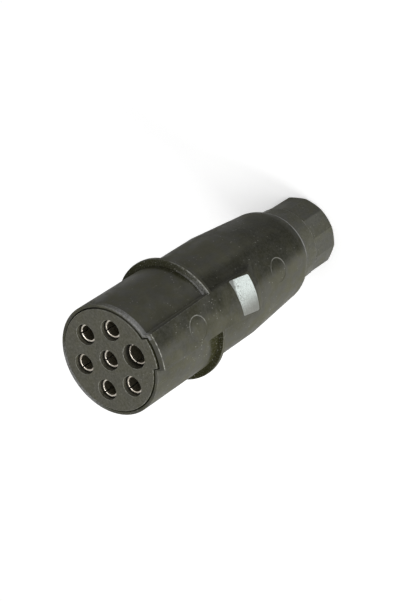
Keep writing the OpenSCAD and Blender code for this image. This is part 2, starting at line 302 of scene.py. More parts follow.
class EffectGroups:
    """Shader node groups for the effects that several finishes share, each built once."""

    # Distance from a grain's middle up to which its speck is whole, and at which it ends.
    SPECK = (0.08, 0.34)
    # A grain's lot from which it is a speck, how much a full drift takes off, and the fade above it.
    SPECK_LOT = 0.96
    DRIFT_LOT = 0.3
    LOT_FADE = 0.12
    # Noise off its middle at which a hairline ends.
    HAIRLINE = 0.006
    # Distance off a ring's radius up to which its line is whole, and at which it ends.
    RING_LINE = (0.08, 0.26)
    # Place across from a ring's middle up to which its painted highlight is hidden, and from which it shows
    # in full.
    RING_SIDE = (-1.2, 1.6)

    def __init__(self) -> None:
        """Builds the groups."""
        self.grain = self._grain()
        self.wear_and_glint = self._wear_and_glint()
        self.dust = self._dust()
        self.scratches = self._scratches()
        self.ring_glint = self._ring_glint()

    @staticmethod
    def _open(name: str, numbers: dict[str, float], *outputs: str) -> tuple[NodeSheet, Any, Any]:
        """Starts a group with number inputs and outputs.

        Args:
            name: the group's name.
            numbers: each input's name and default.
            outputs: each output's name.

        Returns:
            The sheet, the input sockets and the output node.
        """
        tree = bpy.data.node_groups.new(name, "ShaderNodeTree")
        for label, value in numbers.items():
            socket = tree.interface.new_socket(label, in_out="INPUT", socket_type="NodeSocketFloat")
            socket.default_value = value
        for label in outputs:
            tree.interface.new_socket(label, in_out="OUTPUT", socket_type="NodeSocketFloat")
        sheet = NodeSheet(tree)
        return sheet, sheet.add("NodeGroupInput").outputs, sheet.add("NodeGroupOutput")

    def _grain(self) -> bpy.types.NodeTree:
        """Fine moulded grain over shallow unevenness, with broad patches and a small mottle.

        Returns:
            The group.
        """
        sheet, given, made = self._open("moulded_grain", {"Scale": 3.0, "Waves": 0.5},
            "Height", "Patches", "Mottle", "Tinge")
        where = sheet.place_mm()
        fine = Lumps(given["Scale"], detail=3, rough=0.6).noise(sheet, where)
        slow = sheet.times(Lumps(0.09, detail=1).noise(sheet, where), given["Waves"])
        sheet.feed(made, {
            "Height": sheet.plus(fine, slow),
            "Patches": Lumps(0.14, start=0.38, end=0.66, detail=3, rough=0.55).on(sheet, where),
            "Mottle": Lumps(1.15, start=0.34, end=0.68, detail=4, rough=0.75).on(sheet, where),
            "Tinge": Lumps(0.26, start=0.4, end=0.6).on(sheet, sheet.place_mm((1, 1, 0.8)))})
        return sheet.tree

    def _wear_and_glint(self) -> bpy.types.NodeTree:
        """Pale line where an edge has rubbed, which on the housing is also a painted highlight, broken up
        to an edge value of 1 and whole at 2.

        Returns:
            The group.
        """
        sheet, given, made = self._open("edge_wear_and_glint", {"Amount": 0.5, "Scale": 1.2}, "Mask")
        edge = sheet.layer(EDGE_LAYER)
        broken = Lumps(given["Scale"], start=0.36, end=0.64, detail=3, rough=0.55, low=0.15)
        gate = sheet.most(broken.on(sheet, sheet.place_mm()), sheet.less(edge, 1, clamp=True))
        worn = sheet.times(sheet.math("MINIMUM", edge, 1), gate)
        sheet.feed(made, {"Mask": sheet.times(worn, given["Amount"], clamp=True)})
        return sheet.tree

    def _dust(self) -> bpy.types.NodeTree:
        """Fine specks that gather in drifts and in the dust traps, and the drifts' thin film.

        Returns:
            The group.
        """
        sheet, given, made = self._open("dust_film", {"Amount": 0.5, "Scale": 1.3}, "Specks", "Film")
        where = sheet.place_mm()
        drift = Lumps(0.12, start=0.42, end=0.72, detail=3, rough=0.6).on(sheet, where)
        drift = sheet.most(drift, sheet.layer(TRAP_LAYER))
        cells = {"Vector": where, "Scale": given["Scale"], "Randomness": 1.0}
        grains = sheet.add("ShaderNodeTexVoronoi", cells).outputs
        specks = sheet.ramp(grains["Distance"], *self.SPECK, low=1, high=0)
        lot = sheet.add("ShaderNodeSeparateColor", {0: grains["Color"]})
        passed = sheet.less(lot, sheet.math("MULTIPLY_ADD", drift, -self.DRIFT_LOT, self.SPECK_LOT))
        kept = sheet.times(specks, sheet.ramp(passed, 0, self.LOT_FADE))
        sheet.feed(made, {"Specks": sheet.times(kept, given["Amount"], clamp=True),
            "Film": sheet.times(drift, given["Amount"], clamp=True)})
        return sheet.tree

    def _scratches(self) -> bpy.types.NodeTree:
        """Sparse hairlines from handling, in two slanting directions.

        Returns:
            The group.
        """
        sheet, given, made = self._open("hairlines", {"Amount": 0.5, "Scale": 0.5}, "Mask")
        lines = []
        for stretch in ((1.0, 1.0, 0.07), (0.5, 0.6, 0.16)):
            bend = Lumps(given["Scale"]).noise(sheet, sheet.place_mm(stretch))
            thread = sheet.math("ABSOLUTE", sheet.less(bend, 0.5))
            lines.append(sheet.ramp(thread, 0, self.HAIRLINE, low=1, high=0))
        broken = Lumps(0.22, start=0.56, end=0.64, detail=3).on(sheet, sheet.place_mm())
        mask = sheet.times(sheet.times(sheet.most(*lines), broken), given["Amount"])
        sheet.feed(made, {"Mask": mask})
        return sheet.tree

    def _ring_glint(self) -> bpy.types.NodeTree:
        """Painted highlight ring round an ejector mark on the key's side, faded on its low side.

        Returns:
            The group.
        """
        sheet, given, made = self._open("painted_ring_glint",
            {"Across": 0.0, "Height": 90.0, "Radius": 4.0}, "Mask")
        where = sheet.place_mm()
        place = sheet.split(where)
        across = sheet.less(place["X"], given["Across"])
        rise = sheet.less(place["Z"], given["Height"])
        square = sheet.plus(sheet.math("POWER", across, 2), sheet.math("POWER", rise, 2))
        off = sheet.math("ABSOLUTE", sheet.less(sheet.math("SQRT", square), given["Radius"]))
        line = sheet.ramp(off, *self.RING_LINE, low=1, high=0)
        high = sheet.ramp(across, *self.RING_SIDE)
        facing = sheet.math("LESS_THAN", place["Y"], 0)
        uneven = Lumps(0.7, start=0.34, end=0.56, low=0.45).on(sheet, where)
        mask = sheet.times(sheet.times(line, high), facing)
        sheet.feed(made, {"Mask": sheet.times(mask, uneven)})
        return sheet.tree


class MaterialSheet(NodeSheet):
    """The nodes of one new material, with its shader and the shared effects."""

    def __init__(self, name: str, effects: EffectGroups) -> None:
        """Makes the material with its shader.

        Args:
            name: the material's name.
            effects: the shared effects.
        """
        self.material = bpy.data.materials.new(name)
        self.effects = effects
        super().__init__(self.empty(self.material))
        self.shader = self.add("ShaderNodeBsdfPrincipled")
        self.add("ShaderNodeOutputMaterial", {"Surface": self.shader})

    def effect(self, tree: bpy.types.NodeTree, **numbers: float) -> Any:
        """Places a shared effect, with its inputs by name."""
        return self.add("ShaderNodeGroup", numbers, node_tree=tree)


class Finish:
    """A surface finish that fills one material."""

    name: str

    def paint(self, sheet: MaterialSheet) -> None:
        """Fills the material's nodes.

        Args:
            sheet: the material's sheet.
        """
        raise NotImplementedError

    def build(self, effects: EffectGroups) -> bpy.types.Material:
        """Makes the material.

        Args:
            effects: the shared effects.

        Returns:
            The new material.
        """
        sheet = MaterialSheet(self.name, effects)
        self.paint(sheet)
        return sheet.material


@dataclass(frozen=True)
class MouldedPlastic(Finish):
    """Satin moulded plastic with grain, mottle, dust, hairlines and rubbed edges, with painted sheen,
    painted shade and painted highlights laid over it.

    Attributes:
        tone_and_sheen_colour: its colour under the strongest painted sheen, and in its palest patches.
        tone_and_sheen_spread: how unevenly the painted sheen and the patches lie.
        pale_colour: its colour where the mottle is palest.
        tinge: olive tinge that comes and goes, as a factor on the colour.
        marks: place across, height and radius of each ejector mark's ring of painted highlight.
        waves: height of the shallow unevenness, in grain heights.
        film: how much of the dust's colour lies in its thin film.
        shade_from: height at which the dark in the holes starts, or 0 for none.
        shade_to: height below which it is full.
        shade: how dark it is there.
    """

    name: str
    colour: Colour
    tone_and_sheen_colour: Colour
    pale_colour: Colour
    dust_colour: Colour
    tone_and_sheen_spread: float = 0.22
    tinge: Colour = (1.01, 1.0, 0.84)
    worn_and_glint_colour: Colour = (0.34, 0.34, 0.31)
    rub_glint_colour: Colour = (0.225, 0.225, 0.22)
    painted_shade_colour: Colour = (0.023, 0.023, 0.007)
    roughness: float = 0.46
    roughness_spread: float = 0.1
    dusty_roughness: float = 0.12
    polish: float = 0.14
    specular: float = 0.5
    grain_scale: float = 3.2
    grain_height: float = 0.012
    waves: float = 6.0
    mottle: float = 0.22
    dust: float = 0.6
    film: float = 0.08
    wear_and_glint: float = 0.8
    hairlines: float = 0.35
    hairline_show: float = 0.5
    hairline_depth: float = 1.5
    ring_glint_show: float = 0.38
    marks: tuple[tuple[float, float, float], ...] = ()
    shade_from: float = 0.0
    shade_to: float = 0.0
    shade: float = 0.6
    flecks: Lumps = Lumps(2.2, start=0.52, end=0.64, detail=1, low=0.96, high=0.4)
    streaks: Lumps = Lumps(1.6, start=0.36, end=0.62, detail=3, low=0.35)

    def paint(self, sheet: MaterialSheet) -> None:
        """Lays patches and painted sheen, mottle, painted shade, rubs with painted highlights, dust,
        hairlines and wear over the base colour.

        Args:
            sheet: the material's sheet.
        """
        grain = sheet.effect(sheet.effects.grain, Scale=self.grain_scale, Waves=self.waves).outputs
        dust = sheet.effect(sheet.effects.dust, Amount=self.dust).outputs
        wear_and_glint = sheet.effect(sheet.effects.wear_and_glint, Amount=self.wear_and_glint)
        lines = sheet.effect(sheet.effects.scratches, Amount=self.hairlines)
        where = sheet.place_mm()
        # Painted sheen: paler where the housing's layer says, for the reflection of the pale surroundings,
        # with uneven patches of tone.
        uneven = sheet.times(sheet.less(grain["Patches"], 0.5), self.tone_and_sheen_spread)
        sheen = sheet.plus(sheet.layer(SHEEN_LAYER), uneven, clamp=True)
        colour = sheet.tint(sheen, self.colour, self.tone_and_sheen_colour)
        colour = sheet.tint(grain["Tinge"], colour, self.tinge, "MULTIPLY")
        colour = sheet.tint(sheet.times(grain["Mottle"], self.mottle), colour, self.pale_colour)
        # Painted shade in the gaps and corners, broken up by flecks.
        shaded_mask = sheet.times(sheet.ramp(sheet.layer(PAINTED_SHADE_LAYER), 0, 1), self.flecks.on(sheet, where))
        colour = sheet.tint(shaded_mask, colour, self.painted_shade_colour)
        # Pale marks that are painted highlights, partly rubbed wear, broken into streaks.
        rub_glint_mask = sheet.times(sheet.layer(RUB_GLINT_LAYER), self.streaks.on(sheet, where))
        colour = sheet.tint(rub_glint_mask, colour, self.rub_glint_colour)
        if self.shade_from > 0:
            dark = sheet.ramp(sheet.split(where)["Z"], self.shade_to, self.shade_from, self.shade, 0)
            colour = sheet.tint(dark, colour, (0.0, 0.0, 0.0))
        film_outside_shade = sheet.math("MULTIPLY_ADD", shaded_mask, -self.film, self.film)
        colour = sheet.tint(sheet.times(dust["Film"], film_outside_shade), colour, self.dust_colour)
        colour = sheet.tint(dust["Specks"], colour, self.dust_colour)
        colour = sheet.tint(sheet.times(lines, self.hairline_show), colour, self.dust_colour)
        # Painted highlight ring round each ejector mark.
        for across, height, radius in self.marks:
            ring = sheet.effect(sheet.effects.ring_glint, Across=across, Height=height, Radius=radius)
            colour = sheet.tint(sheet.times(ring, self.ring_glint_show), colour, self.worn_and_glint_colour)
        # Pale edges: wear, and on the housing painted highlights.
        colour = sheet.tint(wear_and_glint, colour, self.worn_and_glint_colour)
        rough = sheet.ramp(grain["Patches"], 0, 1, self.roughness - self.roughness_spread,
            self.roughness + self.roughness_spread)
        rough = sheet.plus(rough, sheet.times(dust["Film"], self.dusty_roughness))
        rough = sheet.less(rough, sheet.times(wear_and_glint, self.polish), clamp=True)
        height = sheet.less(grain["Height"], sheet.times(lines, self.hairline_depth))
        height = sheet.plus(height, dust["Specks"])
        sheet.feed(sheet.shader, {"Base Color": colour, "Roughness": rough,
            "Specular IOR Level": self.specular, "Normal": sheet.bump(height, self.grain_height)})


@dataclass(frozen=True)
class TurnedMetal(Finish):
    """Plated metal with fine turning rings round the piece's own axis and dull spots.

    Attributes:
        bore_colour: colour of the sooty bore, below its lip.
        clean_lip: depth of the clean lip.
        lip_fade: depth in which the soot gets full below the lip.
        wall_from: distance from the bore's wall up to which the soot is full.
        wall_to: distance at which it ends.
        ring_lean: how far the rings move with each millimetre down the wall.
        rough_grain: grain's height at which the metal is smoothest, and at which it is roughest.
    """

    name: str
    colour: Colour
    dark_colour: Colour
    roughness: float = 0.28
    smoother: float = 0.06
    rougher: float = 0.12
    rough_grain: Point2 = (0.3, 1.3)
    rings_per_mm: float = 14.0
    ring_height: float = 0.004
    ring_lean: float = 0.35
    tarnish: float = 0.5
    bore_colour: Colour = (0.165, 0.15, 0.105)
    bore_roughness: float = 0.2
    clean_lip: float = 0.55
    lip_fade: float = 0.3
    wall_from: float = 0.04
    wall_to: float = 0.14

    def paint(self, sheet: MaterialSheet) -> None:
        """Lays tarnish over the plating, dulls the bore below its lip and cuts the turning rings.

        Args:
            sheet: the material's sheet.
        """
        grain = sheet.effect(sheet.effects.grain, Scale=2.2, Waves=1.0).outputs
        wear_and_glint = sheet.effect(sheet.effects.wear_and_glint, Amount=0.6)
        colour = sheet.tint(sheet.times(grain["Patches"], self.tarnish), self.colour, self.dark_colour)
        colour = sheet.tint(wear_and_glint, colour, self.colour)
        sunk = sheet.layer(MOUTH_LAYER)
        near = sheet.ramp(sheet.layer(BORE_LAYER), self.wall_from * MM, self.wall_to * MM, 1, 0)
        deep = sheet.ramp(sunk, self.clean_lip * MM, (self.clean_lip + self.lip_fade) * MM)
        sooty = sheet.times(near, deep)
        colour = sheet.tint(sooty, colour, self.bore_colour)
        rough = sheet.ramp(grain["Height"], *self.rough_grain, self.roughness - self.smoother,
            self.roughness + self.rougher)
        rough = sheet.plus(rough, sheet.times(sooty, self.bore_roughness))
        travel = sheet.plus(sheet.layer(AXIS_LAYER), sheet.times(sunk, self.ring_lean))
        turns = sheet.times(travel, self.rings_per_mm * math.tau / MM)
        rings = sheet.times(sheet.math("SINE", turns), 0.5)
        height = sheet.plus(rings, grain["Height"])
        sheet.feed(sheet.shader, {"Base Color": colour, "Roughness": rough, "Metallic": 1.0,
            "Normal": sheet.bump(height, self.ring_height)})


@dataclass(frozen=True)
class RubbedFoil(Finish):
    """Bare silvery foil, speckled where it was rubbed, with a painted reflection that darkens it towards
    its low side.

    Attributes:
        high: place across the plug where the painted reflection is brightest.
        low: place across the plug where it is darkest.
        front: height of the foil's front end.
        thread: noise around the middle at which a scribble is full, and at which it ends.
        crowd: depth up to which the scribbles are thick, and from which they are few.
        few: share of the scribbles there.
        lost: where the foil's front end is rubbed away, from full to none.
        rough_noise: fine noise at which the foil is smoothest, and at which it is roughest.
    """

    name: str
    colour: Colour
    dark_colour: Colour
    speck_colour: Colour
    high: float = 2.2
    low: float = -6.4
    front: float = 0.0
    roughness: float = 0.36
    smoother: float = 0.05
    rougher: float = 0.16
    rough_noise: Point2 = (0.3, 0.7)
    metallic: float = 0.85
    fine: Lumps = Lumps(2.1, start=0.5, end=0.66, detail=4, rough=0.75)
    broad: Lumps = Lumps(0.5)
    bend: Lumps = Lumps(0.75, detail=3, rough=0.6)
    streaks: Lumps = Lumps(1.0, start=0.4, end=0.62, detail=3)
    streak_stretch: Colour = (0.12, 0.3, 1.6)
    thread: Point2 = (0.008, 0.035)
    crowd: Point2 = (1.0, 5.5)
    few: float = 0.12
    scribbled: Point2 = (-4.0, -1.5)
    streaked: Point2 = (-1.5, -5.5)
    lost: Point2 = (-0.9, 0.1)
    lost_lean: float = -0.3
    lost_wander: float = 0.35
    shade_wander: float = 0.5
    fine_height: float = 0.4
    wander: float = 5.0
    pits: float = 0.55
    streak_show: float = 0.45
    speck_show: float = 0.85
    crinkle: float = 0.03

    def paint(self, sheet: MaterialSheet) -> None:
        """Lays scribbles, specks, streaks, a painted reflection that darkens to one side and a fine crinkle
        on the foil.

        Args:
            sheet: the material's sheet.
        """
        where = sheet.place_mm()
        place = sheet.split(where)
        side, deep = place["X"], sheet.less(self.front, place["Z"])
        fine, broad = self.fine.noise(sheet, where), self.broad.noise(sheet, where)
        wander = sheet.times(sheet.less(broad, 0.5), self.wander)
        bend = sheet.math("ABSOLUTE", sheet.less(self.bend.noise(sheet, where), 0.5))
        scribble = sheet.times(sheet.ramp(bend, *self.thread, 1, 0),
            sheet.ramp(sheet.plus(deep, wander), *self.crowd, 1, self.few))
        scribble = sheet.times(scribble, sheet.ramp(side, *self.scribbled))
        pits = sheet.times(sheet.ramp(fine, self.fine.start, self.fine.end), self.pits)
        streaks = sheet.times(self.streaks.on(sheet, sheet.place_mm(self.streak_stretch)),
            sheet.ramp(side, *self.streaked))
        slant = sheet.plus(deep, sheet.times(side, self.lost_lean))
        slant = sheet.plus(slant, sheet.times(wander, self.lost_wander))
        lost = sheet.ramp(slant, *self.lost, 1, 0)
        worn = sheet.most(sheet.times(streaks, self.streak_show), lost)
        worn = sheet.most(sheet.most(scribble, pits), worn)
        # Painted reflection: the foil darkens from high to low across the plug, along a ragged line.
        ragged = sheet.plus(side, sheet.times(wander, self.shade_wander))
        colour = sheet.tint(sheet.ramp(ragged, self.low, self.high, 1, 0), self.colour, self.dark_colour)
        colour = sheet.tint(sheet.times(worn, self.speck_show), colour, self.speck_colour)
        rough = sheet.ramp(fine, *self.rough_noise, self.roughness - self.smoother,
            self.roughness + self.rougher)
        height = sheet.plus(sheet.times(fine, self.fine_height), broad)
        sheet.feed(sheet.shader, {"Base Color": colour, "Roughness": rough, "Metallic": self.metallic,
            "Normal": sheet.bump(height, self.crinkle)})


@dataclass(frozen=True)
class SoftRubber(Finish):
    """Matt black rubber with talc in its pores."""

    name: str
    colour: Colour
    talc_colour: Colour
    talc: float = 0.6
    film: float = 0.3
    roughness: Point2 = (0.62, 0.82)
    pores: float = 0.03

    def paint(self, sheet: MaterialSheet) -> None:
        """Lays talc over the rubber and a fine pitted grain.

        Args:
            sheet: the material's sheet.
        """
        grain = sheet.effect(sheet.effects.grain, Scale=4.5, Waves=0.6).outputs
        dust = sheet.effect(sheet.effects.dust, Amount=0.5, Scale=2.0).outputs
        talc = sheet.plus(sheet.times(dust["Film"], self.film), dust["Specks"])
        colour = sheet.tint(sheet.times(talc, self.talc, clamp=True), self.colour, self.talc_colour)
        rough = sheet.ramp(grain["Patches"], 0, 1, *self.roughness)
        sheet.feed(sheet.shader, {"Base Color": colour, "Roughness": rough,
            "Normal": sheet.bump(grain["Height"], self.pores)})


class Finishes:
    """Every material of the plug, by the record's slot."""

    def __init__(self) -> None:
        """Builds the shared effects and the materials."""
        effects = EffectGroups()
        made: dict[Slot, Finish] = {
            Slot.HOUSING: MouldedPlastic("satin_black_moulding", colour=(0.018, 0.018, 0.0115),
                tone_and_sheen_colour=(0.100, 0.099, 0.084), pale_colour=(0.10, 0.10, 0.085),
                dust_colour=(0.30, 0.30, 0.27), specular=0.04, roughness=0.55,
                marks=tuple((x, FACE_Z - d, MARK_R + RING_OUT) for x, d in EJECTOR_MARKS.values())),
            Slot.INSERT: MouldedPlastic("dark_grey_insert_moulding", colour=(0.045, 0.0435, 0.030),
                tone_and_sheen_colour=(0.085, 0.082, 0.062), pale_colour=(0.11, 0.107, 0.085),
                dust_colour=(0.28, 0.28, 0.24), specular=0.35, roughness=0.5, dust=0.45, wear_and_glint=0.5,
                mottle=0.6, shade_from=FACE_Z - 0.7, shade_to=FACE_Z - 1.8, shade=0.72),
            Slot.NUT: MouldedPlastic("dark_grey_nut_moulding", colour=(0.070, 0.070, 0.060),
                tone_and_sheen_colour=(0.11, 0.109, 0.095), pale_colour=(0.13, 0.13, 0.11),
                dust_colour=(0.30, 0.30, 0.26), specular=0.06, roughness=0.5, dust=0.4, mottle=0.35),
            Slot.CONTACT: TurnedMetal("nickel_plated_brass", (0.78, 0.73, 0.64), (0.50, 0.43, 0.34)),
            Slot.SCREW: TurnedMetal("zinc_plated_steel", (0.62, 0.62, 0.60), (0.36, 0.34, 0.30),
                roughness=0.34, tarnish=0.7),
            Slot.RING: TurnedMetal("plain_aluminium", (0.66, 0.66, 0.65), (0.45, 0.45, 0.44),
                roughness=0.4),
            Slot.RUBBER: SoftRubber("black_gland_rubber", (0.016, 0.016, 0.017), (0.16, 0.16, 0.15)),
            Slot.FOIL: RubbedFoil("bare_label_foil", (0.61, 0.665, 0.64), (0.20, 0.205, 0.185),
                (0.12, 0.12, 0.11), front=FACE_Z - 43.3),
        }
        self.by_slot = {slot: finish.build(effects) for slot, finish in made.items()}

    def complete(self, piece: bpy.types.Object, slot: Slot, node: str,
                 strength: Callable[[Vector], float] = lambda place: 1.0) -> None:
        """Marks a piece's edges, dresses it, puts it on the body and reports it.

        Args:
            piece: the piece, as a plain mesh at the origin.
            slot: the record's slot.
            node: the CAD node that the piece stands for.
            strength: how strong the wear and painted highlight on an edge are at a place in metres, with 1
                as usual.
        """
        mark_edges(piece.data, strength)
        piece.data.materials.clear()
        piece.data.materials.append(self.by_slot[slot])
        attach(piece, BODY)
        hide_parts(node)
        LOG.info("%s: %d faces, %s", piece.name, len(piece.data.polygons), slot.value)


def link_object(name: str, mesh: bpy.types.Mesh) -> bpy.types.Object:
    """Puts a mesh into the scene as an object at the origin.

    Args:
        name: name of the object and its mesh.
        mesh: the mesh, with its place in it.

    Returns:
        The new object.
    """
    mesh.name = name
    piece = bpy.data.objects.new(name, mesh)
    bpy.context.scene.collection.objects.link(piece)
    return piece


def settle(piece: bpy.types.Object) -> bpy.types.Object:
    """Turns a piece with modifiers into a plain mesh.

    Args:
        piece: an object that isn't on a body yet.

    Returns:
        The same object, with its result as its mesh and no modifiers.
    """
    graph = bpy.context.evaluated_depsgraph_get()
    result = bpy.data.meshes.new_from_object(piece.evaluated_get(graph))
    piece.modifiers.clear()
    piece.data = result
    result.name = piece.name
    return piece


def mark_edges(mesh: bpy.types.Mesh, strength: Callable[[Vector], float]) -> None:
    """Marks the narrow faces that round an edge, for the wear and painted highlight on them, and softens
    the shading.

    Args:
        mesh: the mesh to mark.
        strength: how strong the wear and painted highlight on an edge are at a place in metres, with 1 as
            usual.
    """
    work = bmesh.new()
    work.from_mesh(mesh)
    work.normal_update()
    bends = {e.index: e.calc_face_angle_signed(0.0) for e in work.edges}
    layer = work.loops.layers.float.new(EDGE_LAYER)
    for face in work.faces:
        bent = sum(bends[e.index] > ROUND_TURN for e in face.edges)
        narrow = 2 * face.calc_area() < ROUND_WIDTH * MM * face.calc_perimeter()
        worn = strength(face.calc_center_median()) if bent > 1 and narrow else 0.0
        for loop in face.loops:
            loop[layer] = worn
    work.to_mesh(mesh)
    work.free()
    mesh.shade_smooth()
    mesh.set_sharp_from_angle(angle=SHARP_TURN)


def merged_copy(node: str, name: str, bevel: float, least: float = SHARP_TURN) -> bpy.types.Object:
    """Copies a CAD node as a joined mesh with rounded edges.

    Args:
        node: name of the CAD node.
        name: name of the copy.
        bevel: width of the rounding, in millimetres.
        least: the least turn of an edge that is rounded.

    Returns:
        The copy as a plain mesh.
    """
    work = bmesh.new()
    work.from_mesh(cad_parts[node].data)
    bmesh.ops.remove_doubles(work, verts=work.verts, dist=WELD)
    bmesh.ops.dissolve_limit(work, angle_limit=FLAT_TURN, verts=work.verts, edges=work.edges)
    mesh = bpy.data.meshes.new(name)
    work.to_mesh(mesh)
    work.free()
    piece = link_object(name, mesh)
    mesh.shade_smooth()
    rounding = piece.modifiers.new("rounding", "BEVEL")
    rounding.width = bevel * MM
    rounding.segments = 3
    rounding.limit_method = "ANGLE"
    rounding.angle_limit = least
    rounding.use_clamp_overlap = False
    rounding.miter_outer = "MITER_ARC"
    return settle(piece)


def weight_normals(piece: bpy.types.Object) -> None:
    """Lets the large faces of a piece keep their true shading beside small ones.

    Args:
        piece: the finished piece.
    """
    weighting = piece.modifiers.new("weighting", "WEIGHTED_NORMAL")
    weighting.keep_sharp = True
    weighting.weight = 80
    settle(piece)


def woven(name: str, rings: Sequence[Sequence[Vector]], closed: bool = False) -> bpy.types.Object:
    """Joins rings of points into a closed skin of quads.

    Args:
        name: name of the object.
        rings: rows of as many points each, every row a closed ring.
        closed: whether the last row joins the first, in place of a lid on each.

    Returns:
        The object, with doubles merged and faces outwards.
    """
    work = bmesh.new()
    grid = [[work.verts.new(p) for p in ring] for ring in rings]
    count = len(grid[0])
    for near, far in zip(grid, grid[1:] + grid[:1] if closed else grid[1:]):
        for j in range(count):
            k = (j + 1) % count
            work.faces.new((near[j], near[k], far[k], far[j]))
    if not closed:
        work.faces.new(grid[0])
        work.faces.new(grid[-1])
    bmesh.ops.remove_doubles(work, verts=work.verts, dist=WELD)
    bmesh.ops.recalc_face_normals(work, faces=work.faces)
    mesh = bpy.data.meshes.new(name)
    work.to_mesh(mesh)
    work.free()
    return link_object(name, mesh)


def spread(start: float, end: float, steps: int) -> list[float]:
    """Evenly spaced values from start to end, both with them."""
    return [start + (end - start) * i / steps for i in range(steps + 1)]


def share(value: float, start: float, end: float) -> float:
    """Share of the way from start to end, from 0 to 1, where the end may be the lesser."""
    return max(0.0, min(1.0, (value - start) / (end - start)))


def on_plug(across: float, depth: float, radius: float) -> Vector:
    """Point on the key's side of the plug, in metres."""
    return Vector((across, -math.sqrt(radius**2 - across**2), FACE_Z - depth)) * MM


def direction(turn: float) -> Vector:
    """Direction across the plug, from the turn from +X in degrees."""
    return Vector((math.cos(math.radians(turn)), math.sin(math.radians(turn)), 0))


@dataclass(frozen=True)
class Station:
    """One closed row of points round the housing.

    Attributes:
        body: radius and depth of the round part.
        key: radius and depth of the key, or of the hollow behind it.
        half: half the width of the key or the hollow.
        soft: rounding of the key's long edges.
        far: how much farther the key reaches towards -X.
    """

    body: Point2
    key: Point2
    half: float
    soft: float = 0.0
    far: float = 0.0


